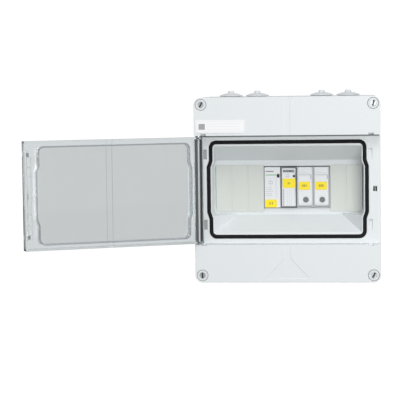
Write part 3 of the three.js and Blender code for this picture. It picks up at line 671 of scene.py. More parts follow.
def slabs(name: str, lows: np.ndarray, highs: np.ndarray) -> bpy.types.Object:
    """Makes one mesh of separate upright boxes.

    Corner c of a box takes its X, Y and Z from the low or the high corner by the bits of c.

    Args:
        name: the piece's name.
        lows: the low corners, of shape (k, 3).
        highs: the high corners, of the same shape.

    Returns:
        The piece.
    """
    bits = (np.arange(8)[:, None] >> np.arange(3)[None, :]) & 1
    points = lows[:, None, :] * (1 - bits) + highs[:, None, :] * bits
    quads = np.array([[0, 2, 3, 1], [4, 5, 7, 6], [0, 1, 5, 4], [2, 6, 7, 3], [0, 4, 6, 2], [1, 3, 7, 5]])
    faces = (8 * np.arange(len(lows))[:, None, None] + quads[None]).reshape(-1, 4)
    return link_mesh(name, points, faces)


def curve_through(points: np.ndarray, step: float) -> np.ndarray:
    """Returns a smooth open curve through points, by the centripetal Catmull-Rom formula.

    Args:
        points: (n, 3) points that it passes through.
        step: about how far apart the new points are.

    Returns:
        The new points, of shape (m, 3).
    """
    first, last = 2 * points[0] - points[1], 2 * points[-1] - points[-2]
    knots = np.concatenate([first[None], points, last[None]])
    pieces = []
    for index in range(len(points) - 1):
        p = knots[index:index + 4]
        gaps = np.sqrt(np.linalg.norm(np.diff(p, axis=0), axis=1))
        t = np.concatenate([[0.0], np.cumsum(gaps)])
        count = max(2, int(np.linalg.norm(p[2] - p[1]) / step))
        u = np.linspace(t[1], t[2], count, endpoint=False)[:, None]
        low = [((t[k + 1] - u) * p[k] + (u - t[k]) * p[k + 1]) / (t[k + 1] - t[k]) for k in range(3)]
        mid = [((t[k + 2] - u) * low[k] + (u - t[k]) * low[k + 1]) / (t[k + 2] - t[k]) for k in range(2)]
        pieces.append(((t[2] - u) * mid[0] + (u - t[1]) * mid[1]) / (t[2] - t[1]))
    return np.concatenate([*pieces, points[-1:]])


def tube_frames(path: np.ndarray) -> tuple[np.ndarray, np.ndarray]:
    """Returns two unit vectors across a path at each point, from a fixed sideways direction.

    Args:
        path: (n, 3) points.

    Returns:
        The sideways vectors and the vectors square to them and to the path, each of shape (n, 3).
    """
    along = np.gradient(path, axis=0)
    along /= np.linalg.norm(along, axis=1, keepdims=True)
    sideways = np.cross(along, np.array([0.15, 1.0, 0.1]))
    sideways /= np.linalg.norm(sideways, axis=1, keepdims=True)
    return sideways, np.cross(along, sideways)


def face_slimness(face: bmesh.types.BMFace) -> float:
    """Returns about how wide a face is across its narrow way: twice its area over its perimeter."""
    return 2.0 * face.calc_area() / max(sum(edge.calc_length() for edge in face.edges), 1e-9)


def edge_clearance(edges: Sequence[bmesh.types.BMEdge]) -> np.ndarray:
    """Returns how far each edge is from the nearest other edge that it shares no corner with.

    Three points of each edge are measured to every other edge, each taken as a straight segment.

    Args:
        edges: the edges.

    Returns:
        One length for each.
    """
    ends = np.array([[corner.co for corner in edge.verts] for edge in edges])
    ids = np.array([[corner.index for corner in edge.verts] for edge in edges])
    start, along = ends[:, 0], ends[:, 1] - ends[:, 0]
    length = np.maximum((along ** 2).sum(-1), 1e-18)
    nearest = np.empty(len(edges))
    for first in range(0, len(edges), 200):
        part = slice(first, first + 200)
        share = (ids[part, None, :, None] == ids[None, :, None, :]).any(axis=(2, 3))
        best = np.full(share.shape, np.inf)
        for t in (0.1, 0.5, 0.9):
            point = start[part] + t * along[part]
            offset = point[:, None] - start[None]
            foot = np.clip((offset * along[None]).sum(-1) / length[None], 0.0, 1.0)
            gap = np.linalg.norm(offset - foot[..., None] * along[None], axis=-1)
            best = np.minimum(best, gap)
        best[share] = np.inf
        nearest[part] = best.min(axis=1)
    return nearest


CROSSING_SINE = 0.6
NEIGHBOUR_SHARE = 0.42
STRAIGHT_ON = -0.64


def corner_room(edge: bmesh.types.BMEdge, radius: float) -> float:
    """Returns the widest rounding that an edge's neighbours leave room for at its two corners.

    A rounding slides along a neighbour by its width over the sine of the angle between the two,
    and that must stay under half the neighbour. Neighbours that run nearly straight on don't count.

    Args:
        edge: the edge.
        radius: the rounding wished for.

    Returns:
        The radius, or less.
    """
    room = radius
    for corner in edge.verts:
        ahead = (edge.other_vert(corner).co - corner.co).normalized()
        for other in corner.link_edges:
            aside = other.other_vert(corner).co - corner.co
            sine = ahead.cross(aside.normalized()).length
            if other != edge and sine > CROSSING_SINE:
                room = min(room, NEIGHBOUR_SHARE * aside.length * sine)
    return room


def even_runs(edges: Sequence[bmesh.types.BMEdge], rooms: Sequence[float]) -> list[float]:
    """Gives every edge the smallest room in its run, so that a rounding keeps one width along it.

    Edges are in one run where they continue each other at a corner, turning less than 50 degrees.

    Args:
        edges: the edges to round.
        rooms: the widest rounding of each.

    Returns:
        The new width of each edge's rounding.
    """
    run_of = {edge.index: edge.index for edge in edges}

    def root(index: int) -> int:
        """Returns the edge that stands for a run."""
        while run_of[index] != index:
            index = run_of[index]
        return index

    for edge in edges:
        for corner in edge.verts:
            ahead = (edge.other_vert(corner).co - corner.co).normalized()
            for other in corner.link_edges:
                if other == edge or other.index not in run_of:
                    continue
                aside = (other.other_vert(corner).co - corner.co).normalized()
                if ahead.dot(aside) < STRAIGHT_ON:
                    run_of[root(edge.index)] = root(other.index)
    least: dict[int, float] = {}
    for edge, room in zip(edges, rooms):
        run = root(edge.index)
        least[run] = min(least.get(run, room), room)
    return [least[root(edge.index)] for edge in edges]


class Bodyshop:
    """Turns CAD nodes into finished pieces and puts new pieces on their bodies.

    MERGE is the distance under which points are one, FLAT the turn under which faces are one,
    SHARP the turn past which an edge is rounded and CREASE the turn past which shading breaks.
    SEAM_REACH is how near a seam's plane an edge lies in it, and SHARE the part of a narrow
    face or gap that one rounding may take.
    """

    MERGE = 0.0005 * MM
    FLAT = math.radians(0.5)
    SHARP = math.radians(30)
    CREASE = math.radians(50)
    SEAM_REACH = 0.08 * MM
    SHARE = 0.4

    def __init__(self, frame: Mapping[str, Any], paint: Paintbox) -> None:
        """Keeps the frame and knows which body each node rides on."""
        self.frame = frame
        self.paint = paint
        self.body_of = {
            node: body
            for body, nodes in frame["record"]["behaviour"]["bodies"].items()
            for node in nodes
        }

    def soften(self, node: str, name: str, finish: Any, radius: float = 0.5 * MM,
               segments: int = 3, seams: Sequence[tuple[int, float]] = (),
               smooth: bool = True) -> bpy.types.Object:
        """Makes a finished copy of a node with rounded edges, and lets it stand for the node.

        Args:
            node: the CAD node.
            name: the new piece's name.
            finish: its finish.
            radius: the edge radius; narrow faces get a smaller one.
            segments: faces across each rounded edge.
            seams: (axis, place) of planes where the node meets the rest of its moulding; an edge
                in one stays sharp.
            smooth: whether curved faces are shaded smooth; a clear piece is left as it is.

        Returns:
            The new piece.
        """
        draft = self.frame["nodes"][node].data.copy()
        stored = draft.attributes.get("custom_normal")
        if stored is not None:
            draft.attributes.remove(stored)
        work = bmesh.new()
        work.from_mesh(draft)
        bmesh.ops.remove_doubles(work, verts=work.verts, dist=self.MERGE)
        bmesh.ops.dissolve_limit(work, angle_limit=self.FLAT, verts=work.verts, edges=work.edges)
        self.weigh_edges(work, radius, seams)
        bmesh.ops.connect_verts_concave(work, faces=work.faces)
        work.to_mesh(draft)
        work.free()
        piece = show(name, draft)
        rounding = piece.modifiers.new("rounded_edges", "BEVEL")
        rounding.limit_method = "WEIGHT"
        rounding.width = radius
        rounding.segments = segments
        rounding.use_clamp_overlap = False
        mesh = bpy.data.meshes.new_from_object(piece.evaluated_get(bpy.context.evaluated_depsgraph_get()))
        mesh.name = name
        piece.modifiers.clear()
        piece.data = mesh
        bpy.data.meshes.remove(draft)
        if smooth:
            mesh.shade_smooth()
            mesh.set_sharp_from_angle(angle=self.CREASE)
            flattening = piece.modifiers.new("flat_faces", "WEIGHTED_NORMAL")
            flattening.weight = 100
            flattening.keep_sharp = True
        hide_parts(node)
        return self.finish(piece, finish, self.body_of[node])

    def weigh_edges(self, work: bmesh.types.BMesh, radius: float, seams: Sequence[tuple[int, float]]) -> None:
        """Gives every sharp edge off the seams the share of the radius that it has room for.

        Args:
            work: the mesh.
            radius: the radius wished for.
            seams: (axis, place) of the planes whose edges stay sharp.
        """
        weights = work.edges.layers.float.new("bevel_weight_edge")
        work.verts.index_update()
        work.edges.index_update()
        rounded = [
            edge for edge in work.edges
            if len(edge.link_faces) == 2 and edge.calc_face_angle(0.0) > self.SHARP and not any(
                all(abs(corner.co[axis] - place) < self.SEAM_REACH for corner in edge.verts)
                for axis, place in seams
            )
        ]
        rooms = [
            min(self.SHARE * min(face_slimness(face) for face in edge.link_faces),
                self.SHARE * clearance, corner_room(edge, radius))
            for edge, clearance in zip(rounded, edge_clearance(rounded))
        ]
        for edge, room in zip(rounded, even_runs(rounded, rooms)):
            edge[weights] = room / radius

    def finish(self, piece: bpy.types.Object, finish: Any, body: str) -> bpy.types.Object:
        """Paints a piece and lets it ride on a body.

        Args:
            piece: the piece.
            finish: a Stock, or a finish of its own.
            body: the body's name.

        Returns:
            The piece.
        """
        self.paint.dress(piece, finish)
        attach(piece, body)
        return piece

    def box(self, node: str) -> tuple[Vector, Vector]:
        """Returns a node's lowest and highest corners."""
        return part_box(node)


# --------------------------------------------------------------------------- sub-assemblies


@dataclass
class Enclosure:
    """Base, lift-off cover and the four quarter-turn screws."""

    shop: Bodyshop
    edge_radius: float = 0.9 * MM
    screws: tuple[str, ...] = ("top_left", "top_right", "bottom_left", "bottom_right")
    # dark grey inserts in the left floor pockets, partly painted shade of the pockets
    shade_insert_size: tuple[float, float, float] = (3.2 * MM, 2.0 * MM, 10.1 * MM)
    shade_insert_left: float = -91.0 * MM
    shade_insert_bottoms: tuple[float, float] = (33.2 * MM, -43.3 * MM)
    shade_insert_sunk: float = 0.7 * MM
    web_low: tuple[float, float, float] = (93.6 * MM, -98.8 * MM, -4.0 * MM)
    web_high: tuple[float, float, float] = (94.8 * MM, -97.4 * MM, 4.0 * MM)
    # size and lift of the dark strip of painted shadow under the top block's step
    shadow_line_size: tuple[float, float, float] = (197.2 * MM, 0.5 * MM, 1.7 * MM)
    shadow_line_proud: float = 0.12 * MM

    def build(self) -> None:
        """Builds the shells and the screws."""
        back = [(1, self.shop.box("base_walls")[1].y)]
        floor_low, floor_high = self.shop.box("front_cover")
        cover = [(1, floor_high.y), (2, floor_low.z), (2, floor_high.z)]
        self.shop.soften("base_box", "base_back", Stock.HOUSING, self.edge_radius, seams=back)
        self.shop.soften("base_walls", "base_sides", Stock.HOUSING, self.edge_radius, seams=back)
        for node in ("front_cover", "cover_skirt", "cover_top_end", "cover_bottom_end"):
            self.shop.soften(node, f"{node}_moulding", Stock.HOUSING, self.edge_radius, seams=cover)
        self.shop.soften("window_frame", "frame_shell", Stock.HOUSING, 0.6 * MM, seams=cover)
        self.shop.soften("cover_seal", "base_seal", Stock.SEAL, 0.3 * MM, 2)
        self.build_details()
        self.build_step_shadow_line()
        for place in self.screws:
            self.build_screw(place)

    def build_details(self) -> None:
        """Builds dark grey inserts in the left floor pockets, partly painted shade of the pockets, and the
        web behind the latch's hole.
        """
        floor = self.shop.box("front_cover")[0].y
        lows = np.array([[self.shade_insert_left, floor + self.shade_insert_sunk, bottom] for bottom in self.shade_insert_bottoms])
        shade_inserts = slabs("pocket_shade_inserts", lows, lows + np.array(self.shade_insert_size))
        self.shop.finish(shade_inserts, Stock.POCKET_SHADE_AND_WEB, "cover")
        web = slabs("latch_web", np.array([self.web_low]), np.array([self.web_high]))
        self.shop.finish(web, Stock.POCKET_SHADE_AND_WEB, "cover")

    def build_step_shadow_line(self) -> None:
        """Builds a dark strip where the channel's floor meets the step of the top block: painted shadow in
        that corner, over the narrow gap there.
        """
        floor, high = self.shop.box("front_cover")
        wide, _, tall = self.shadow_line_size
        # painted shadow: a dark strip on the channel's floor, in the corner under the step
        low = np.array([[-wide / 2, floor.y - self.shadow_line_proud, high.z - tall - 0.05 * MM]])
        gap = slabs("step_shadow_line", low, low + np.array([self.shadow_line_size]))
        self.shop.finish(gap, Stock.SHADE, "cover")

    def build_screw(self, place: str) -> None:
        """Builds one quarter-turn screw, its finish centred on its own axis."""
        node = f"cover_screw_{place}"
        low, high = self.shop.box(node)
        centre = ((low.x + high.x) / 2, low.y, (low.z + high.z) / 2)
        finish = ScrewPlastic(f"screw_{place}", "screw_grey", (0.72, 0.745, 0.755), centre)
        self.shop.soften(node, f"quarter_turn_{place}", finish, 0.4 * MM)


@dataclass
class WindowSeal:
    """The black foam strip round the window, in its groove, wider in the middle of its height."""

    shop: Bodyshop
    half_width: float = 1.9 * MM
    corner: float = 6.0 * MM
    ear: float = 2.4 * MM
    ear_from: float = 24.4 * MM
    ear_to: float = 31.5 * MM
    corner_steps: int = 10

    def centre_line(self) -> np.ndarray:
        """Returns the closed line (x, z): straight runs, quarter circles and slanted shoulders."""
        low, high = self.shop.box("window_seal")
        ear_x = high.x - self.half_width
        x, z = ear_x - self.ear, high.z - self.half_width
        bend = np.linspace(0.0, np.pi / 2, self.corner_steps)
        arc = np.array([x, z]) - self.corner * (1 - np.stack([np.cos(bend), np.sin(bend)], axis=-1))
        side = np.linspace([ear_x, 0.0], [ear_x, self.ear_from], 6)
        quarter = np.concatenate([side, [[x, self.ear_to]], arc])
        half = np.concatenate([quarter, quarter[::-1] * np.array([-1, 1])])
        return np.concatenate([half, half[::-1] * np.array([1, -1])])

    def build(self) -> None:
        """Sweeps a rounded section along the centre line."""
        low, high = self.shop.box("window_seal")
        line = self.centre_line()
        keep = np.linalg.norm(line - np.roll(line, 1, axis=0), axis=1) > 0.01 * MM
        line = line[keep]
        heading = np.roll(line, -1, axis=0) - np.roll(line, 1, axis=0)
        heading /= np.linalg.norm(heading, axis=1, keepdims=True)
        path = np.stack([line[:, 0], np.full(len(line), high.y), line[:, 1]], axis=-1)
        across = np.stack([heading[:, 1], np.zeros(len(line)), -heading[:, 0]], axis=-1)
        lift = np.tile([0.0, -1.0, 0.0], (len(line), 1))
        angle = np.linspace(0, np.pi, 12)
        height = high.y - low.y
        bulge = height * (0.55 + 0.45 * np.sin(angle) ** 0.8)
        crown = np.stack([self.half_width * np.cos(angle), bulge], axis=-1)
        foot = np.array([[-self.half_width, 0.0], [self.half_width, 0.0]])
        piece = swept("window_seal_strip", path, across, lift, np.concatenate([crown, foot]), True)
        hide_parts("window_seal")
        self.shop.finish(piece, Stock.SEAL, "cover")


@dataclass
class WindowDoor:
    """Clear door, its latch bar, the two hinge pins and strips on the thick hinge barrel: painted shade along
    its dark edge, a painted highlight and a painted shadow line.
    """

    shop: Bodyshop
    hinge: tuple[float, float] = (-95.2 * MM, -109.2 * MM)
    barrel: float = 4.85 * MM
    # strips painted on the barrel: painted shade on its dark edge, a painted highlight, and a black painted
    # shadow line
    painted_barrel_strips: tuple[tuple[str, float, float, Stock], ...] = (
        ("hinge_painted_dark_edge", -48.0, -8.0, Stock.BARREL_SHADE), ("hinge_painted_highlight", -6.5, 11.0, Stock.PALE_INK_AND_HIGHLIGHT),
        ("hinge_painted_shadow", 20.0, 46.0, Stock.BLACK_INK_AND_SHADE),
    )

    def build(self) -> None:
        """Builds the clear pieces and the pins."""
        self.shop.soften("door", "door_panel", Stock.CLEAR, 0.3 * MM, smooth=False)
        self.shop.soften("door_rib", "sealing_rib", Stock.CLEAR, 0.3 * MM, smooth=False)
        self.shop.soften("door_latch", "latch_bar", Stock.CLEAR_LATCH, 0.35 * MM, smooth=False)
        for end in ("top", "bottom"):
            self.shop.soften(f"hinge_pin_{end}", f"pin_{end}", Stock.ZINC, 0.3 * MM)
        for name, start, end, finish in self.painted_barrel_strips:
            self.build_painted_strip(name, start, end, finish)

    def build_painted_strip(self, name: str, start: float, end: float, finish: Stock) -> None:
        """Builds a thin curved strip of painted shade, highlight or shadow on the barrel: a rectangle carried
        along an arc round its axis.

        Args:
            name: the piece's name.
            start: the arc's first angle in degrees, from straight ahead towards +X.
            end: its last angle.
            finish: its finish.
        """
        low, high = self.shop.box("door_rib")
        angle = np.radians(np.linspace(start, end, 12))
        ahead = np.column_stack([np.sin(angle), -np.cos(angle), np.zeros(len(angle))])
        path = np.array([*self.hinge, (low.z + high.z) / 2]) + self.barrel * ahead
        thick, half = 0.05 * MM, (high.z - low.z) / 2 + 3.0 * MM
        section = np.array([[-thick, -half], [thick, -half], [thick, half], [-thick, half]])
        piece = swept(name, path, ahead, np.tile([0.0, 0.0, 1.0], (len(angle), 1)), section, False)
        self.shop.finish(piece, finish, "door")


@dataclass
class CableEntries:
    """Four membrane grommets in the top wall."""

    shop: Bodyshop
    count: int = 4
    wall: float = 3.5 * MM

    def profile(self, radius: float, top: float) -> np.ndarray:
        """Returns the turned outline (radius, height from the outer wall face), pole to pole.

        The outer dome rises from the flange's rim to the nipple along a quarter of a sine.

        Args:
            radius: the flange's radius.
            top: how high the nipple stands.
        """
        flange, rise = 1.3 * MM, top
        nipple, shoulder = 3.5 * MM, 3.7 * MM
        inside = [
            (0.0, 2.3 * MM), (7.0 * MM, 1.4 * MM), (8.3 * MM, 0.4 * MM), (8.4 * MM, -self.wall - 1.7 * MM),
            (11.2 * MM, -self.wall - 1.7 * MM), (11.4 * MM, -self.wall - 1.5 * MM),
            (11.0 * MM, -self.wall - 0.35 * MM), (9.9 * MM, -self.wall - 0.3 * MM),
            (9.9 * MM, 0.3 * MM), (radius - 0.3 * MM, 0.3 * MM),
        ]
        t = np.linspace(0, 1, 9)
        lip = np.stack([
            radius - 0.6 * MM * (1 - np.sin(np.pi * t)) ** 2,
            0.4 * MM + (flange - 0.2 * MM) * t,
        ], axis=-1)
        dome = np.stack([
            radius - 0.9 * MM - (radius - 0.9 * MM - nipple - 0.8 * MM) * t,
            flange + 0.3 * MM + (shoulder - flange - 0.3 * MM) * np.sin(t * np.pi / 2),
        ], axis=-1)
        neck = [
            (nipple + 0.2 * MM, shoulder + 0.5 * MM), (nipple, rise - 1.0 * MM),
            (nipple - 0.3 * MM, rise - 0.4 * MM), (nipple - 1.0 * MM, rise), (1.6 * MM, rise),
            (1.2 * MM, rise - 0.35 * MM), (0.0, rise - 0.45 * MM),
        ]
        return np.concatenate([np.array(inside), lip, dome, np.array(neck)])

    def build(self) -> None:
        """Turns one grommet at each entry."""
        wall_top = self.shop.box("base_walls")[1].z
        for index in range(1, self.count + 1):
            node = f"grommet_{index}"
            low, high = self.shop.box(node)
            centre = Vector(((low.x + high.x) / 2, (low.y + high.y) / 2, wall_top))
            outline = self.profile((high.x - low.x) / 2, high.z - wall_top)
            piece = turned(f"entry_membrane_{index}", outline, centre)
            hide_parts(node)
            self.shop.finish(piece, Stock.MEMBRANE, "root")


@dataclass
class RailSet:
    """DIN rail, its screws, the devices' spring clips and the blanking strips."""

    shop: Bodyshop

    def build(self) -> None:
        """Builds the rail's pieces."""
        self.shop.soften("din_rail", "top_hat_rail", Stock.ZINC, 0.35 * MM)
        for side in ("left", "right"):
            self.shop.soften(f"rail_screw_{side}", f"rail_bolt_{side}", Stock.ZINC, 0.4 * MM)
            self.shop.soften(f"blanking_strip_{side}", f"strip_{side}", Stock.STRIP, 0.3 * MM)
        for index in range(1, 5):
            self.shop.soften(f"rail_clip_{index}", f"spring_clip_{index}", Stock.DARK, 0.3 * MM)


class Marks:
    """Printed marks on a face that looks along -Y: thin slabs of ink."""

    INK_THICK = 0.05 * MM

    def __init__(self, shop: Bodyshop, body: str, left: float, face: float, middle: float) -> None:
        """Keeps the face's left edge X, its depth Y and its middle Z."""
        self.shop = shop
        self.body = body
        self.origin = np.array([left, face, middle])

    def print(self, name: str, boxes: Iterable[tuple[float, float, float, float]], ink: Stock) -> None:
        """Prints rectangles.

        Args:
            name: the piece's name.
            boxes: (x from, x to, z from, z to) in millimetres from the left edge and the middle.
            ink: the ink's finish.
        """
        table = np.array(list(boxes)) * MM
        depth = np.zeros(len(table))
        lows = self.origin + np.stack([table[:, 0], depth - self.INK_THICK, table[:, 2]], axis=-1)
        highs = self.origin + np.stack([table[:, 1], depth + self.INK_THICK, table[:, 3]], axis=-1)
        self.shop.finish(slabs(name, lows, highs), ink, self.body)

    def number(self, name: str, figure: str, x: float, z: float, height: float) -> None:
        """Prints a plain figure in black.

        Args:
            name: the piece's name.
            figure: the digits.
            x: its middle, in millimetres from the left edge.
            z: its middle, in millimetres from the face's middle.
            height: its height in millimetres.
        """
        text = bpy.data.curves.new(name, "FONT")
        text.body = figure
        text.size = height * MM / 0.7
        text.offset = 0.035 * height * MM
        text.space_character = 1.15
        text.extrude = self.INK_THICK
        text.align_x = "CENTER"
        text.align_y = "CENTER"
        carrier = show(name + "_text", text)
        bpy.context.view_layer.update()
        mesh = bpy.data.meshes.new_from_object(carrier)
        bpy.data.objects.remove(carrier)
        place = Vector(self.origin) + Vector((x * MM, 0.0, z * MM))
        mesh.transform(Matrix.Translation(place) @ Matrix.Rotation(math.pi / 2, 4, "X"))
        piece = show(name, mesh)
        tidy_surface(piece)
        self.shop.finish(piece, Stock.BLACK_INK_AND_SHADE, self.body)


def dashes(x: Span, z: float, height: float, count: int, fill: float = 0.7) -> list[tuple[float, ...]]:
    """Returns a row of equal blocks, standing for a line of small print.

    Args:
        x: where the row starts and ends.
        z: its bottom.
        height: its height.
        count: how many blocks it has.
        fill: the part of each step that is printed.
    """
    pitch = (x[1] - x[0]) / count
    return [(x[0] + k * pitch, x[0] + (k + fill) * pitch, z, z + height) for k in range(count)]


@dataclass
class RelayModule:
    """Relay: white housing, push button, green rule and a faint wiring diagram."""

    shop: Bodyshop

    def build(self) -> None:
        """Builds the relay and prints its front."""
        self.shop.soften("relay_body", "relay_housing", Stock.DEVICE, 0.5 * MM)
        self.shop.soften("relay_button", "relay_push", Stock.STATUS, 0.2 * MM)
        low, high = self.shop.box("relay_body")
        marks = Marks(self.shop, "root", low.x, low.y, 0.0)
        marks.print("relay_top_print", dashes((1.4, 10.2), 17.2, 0.9, 7, 0.8), Stock.BLACK_INK_AND_SHADE)
        marks.print("relay_green_rule", [(1.4, 13.4, 13.2, 14.1)], Stock.GREEN_INK)
        marks.print("relay_diagram", self.diagram(), Stock.GREY_INK)

    @staticmethod
    def diagram() -> list[tuple[float, ...]]:
        """Returns the strokes of a plain coil-and-contact diagram and rows of small print."""
        thin = 0.3
        coil = [(4.6, 8.6, 6.4, 6.4 + thin), (4.6, 8.6, 4.2, 4.2 + thin), (4.6, 4.6 + thin, 4.2, 6.4),
                (8.6, 8.6 + thin, 4.2, 6.4), (6.5, 6.5 + thin, 6.4, 9.0), (6.5, 6.5 + thin, 1.6, 4.2)]
        contact = [(12.6, 12.6 + thin, 5.8, 9.0), (12.6, 12.6 + thin, 1.6, 3.6),
                   (11.6, 13.4, 4.6, 4.6 + thin)]
        rows = [
            row for k in range(5)
            for row in dashes((2.0, 8.4 + 0.6 * (k % 3)), -0.6 - 2.1 * k, 0.5, 5, 0.55)
        ]
        column = [row for k in range(6) for row in dashes((12.2, 14.6), -0.2 - 2.1 * k, 0.5, 2, 0.6)]
        return coil + contact + rows + column


@dataclass
class SurgeModule:
    """Surge arrester: dark base with a pale plug-in cartridge, status window and rules."""

    shop: Bodyshop

    def build(self) -> None:
        """Builds the arrester and prints its front."""
        self.shop.soften("surge_base", "surge_socket", Stock.SHADE, 0.4 * MM)
        self.shop.soften("surge_cartridge", "surge_plug", Stock.DEVICE, 0.5 * MM)
        self.shop.soften("surge_status", "surge_status_window", Stock.STATUS, 0.2 * MM)
        low, high = self.shop.box("surge_cartridge")
        marks = Marks(self.shop, "cartridge", low.x, low.y, 0.0)
        marks.print("surge_head_band", [(1.2, 14.2, 16.2, 19.6)], Stock.PALE_INK_AND_HIGHLIGHT)
        marks.print("surge_head_print", dashes((1.6, 13.8), 16.9, 2.0, 8, 0.62), Stock.BLACK_INK_AND_SHADE)
        small = [row for z in (13.4, 11.4) for row in dashes((4.6, 8.6), z, 0.8, 4, 0.6)]
        marks.print("surge_small_print", small, Stock.GREY_INK)
        rules = [(x, x + 0.28, -20.4, -2.0) for x in (5.6, 8.0, 10.1, 13.6)]
        marks.print("surge_rules", rules, Stock.PALE_INK_AND_HIGHLIGHT)
        marks.print("surge_side_print", [(1.0, 2.6, -3.8 - 2.05 * k, -2.5 - 2.05 * k) for k in range(9)],
                    Stock.GREY_INK)


@dataclass
class FuseModule:
    """One fuse holder: base, swing-out drawer, link and round indicator lens."""

    shop: Bodyshop
    index: int

    def build(self) -> None:
        """Builds the holder and its link."""
        number = self.index
        self.shop.soften(f"fuse_base_{number}", f"fuse_housing_{number}", Stock.DEVICE, 0.4 * MM)
        self.shop.soften(f"fuse_drawer_{number}", f"drawer_{number}", Stock.DEVICE, 0.45 * MM)
        self.shop.soften(f"fuse_lens_{number}", f"lens_{number}", Stock.LENS, 0.3 * MM)
        low, high = self.shop.box(f"fuse_drawer_{number}")
        marks = Marks(self.shop, f"drawer_{number}", low.x, low.y, 0.0)
        rule = [(0.8, 14.4, 13.4, 13.8), (13.5, 14.4, 9.2, 13.4)]
        marks.print(f"drawer_rule_{number}", rule, Stock.GREY_INK)
        low, high = self.shop.box(f"fuse_link_{number}")
        finish = CappedTube("fuse_link_finish", "fuse_ceramic", (0.80, 0.79, 0.74), (0.70, 0.70, 0.69),
                            high.z - 9.4 * MM)
        self.shop.soften(f"fuse_link_{number}", f"link_{number}", finish, 0.4 * MM)


@dataclass
class Terminals:
    """Slotted terminal screws in the shoulders of the four devices."""

    shop: Bodyshop
    hosts: tuple[str, ...] = ("relay_body", "surge_base", "fuse_base_1", "fuse_base_2")
    shoulder: float = 14.0 * MM
    depth: float = 2.2 * MM
    offset: float = 34.0 * MM
    radius: float = 2.6 * MM

    def build(self) -> None:
        """Turns a domed head in each terminal bore and lays a dark slab on it for its slot, as painted shade.
        """
        radius = self.radius
        head = np.array([
            (0.0, 0.0), (radius, 0.0), (radius, 0.9 * MM), (radius * 0.8, 1.3 * MM), (0.0, 1.4 * MM),
        ])
        for host in self.hosts:
            low, high = self.shop.box(host)
            middle, face = (low.x + high.x) / 2, low.y + self.shoulder + self.depth + 3.0 * MM
            for side, tag in ((1, "top"), (-1, "bottom")):
                centre = Vector((middle, face, side * self.offset))
                piece = turned(f"{host}_terminal_{tag}", head, centre, "Y", 32)
                self.shop.finish(piece, Stock.ZINC, "root")
                # painted shade: a black slab stands for the shaded slot in the terminal head
                marks = Marks(self.shop, "root", middle, face - 1.4 * MM, side * self.offset)
                marks.print(f"{host}_terminal_slot_shade_{tag}", [(-2.0, 2.0, -0.3, 0.3)], Stock.BLACK_INK_AND_SHADE)


@dataclass
class Labels:
    """Yellow device tags with plain figures, and the white plate with an empty ruled frame."""

    shop: Bodyshop
    tags: tuple[tuple[str, str, float], ...] = (
        ("11", "root", 3.0), ("21", "cartridge", 2.2), ("301", "drawer_1", 2.3), ("302", "drawer_2", 2.3),
    )

    def build(self) -> None:
        """Builds the tags and the plate."""
        for index, (figure, body, height) in enumerate(self.tags, 1):
            node = f"device_tag_{index}"
            self.shop.soften(node, f"tag_{index}", Stock.YELLOW, 0.12 * MM, 2)
            low, high = self.shop.box(node)
            marks = Marks(self.shop, body, low.x, low.y, low.z)
            middle = (high - low) / 2 / MM
            marks.number(f"tag_figure_{index}", figure, middle.x, middle.z, height)
        self.build_plate()

    def build_plate(self) -> None:
        """Builds the plate: a thin frame, a grey block and three empty lines to write on."""
        self.shop.soften("name_plate", "plate_film", Stock.WHITE, 0.1 * MM, 2)
        low, high = self.shop.box("name_plate")
        wide, tall = (high.x - low.x) / MM, (high.z - low.z) / MM
        marks = Marks(self.shop, "cover", low.x, low.y, low.z)
        inset, line = 1.2, 0.25
        right, top = wide - inset, tall - inset
        frame = [
            (inset, right, inset, inset + line), (inset, right, top - line, top),
            (inset, inset + line, inset, top), (right - line, right, inset, top),
        ]
        rules = [(13.0, wide - 4.0, z, z + line) for z in (3.8, 6.8, 9.8)]
        marks.print("plate_frame", frame, Stock.RULE_INK)
        marks.print("plate_lines", rules, Stock.RULE_INK)
        marks.print("plate_block", [(3.4, 10.2, 3.8, tall - 3.8)], Stock.GREY_INK)


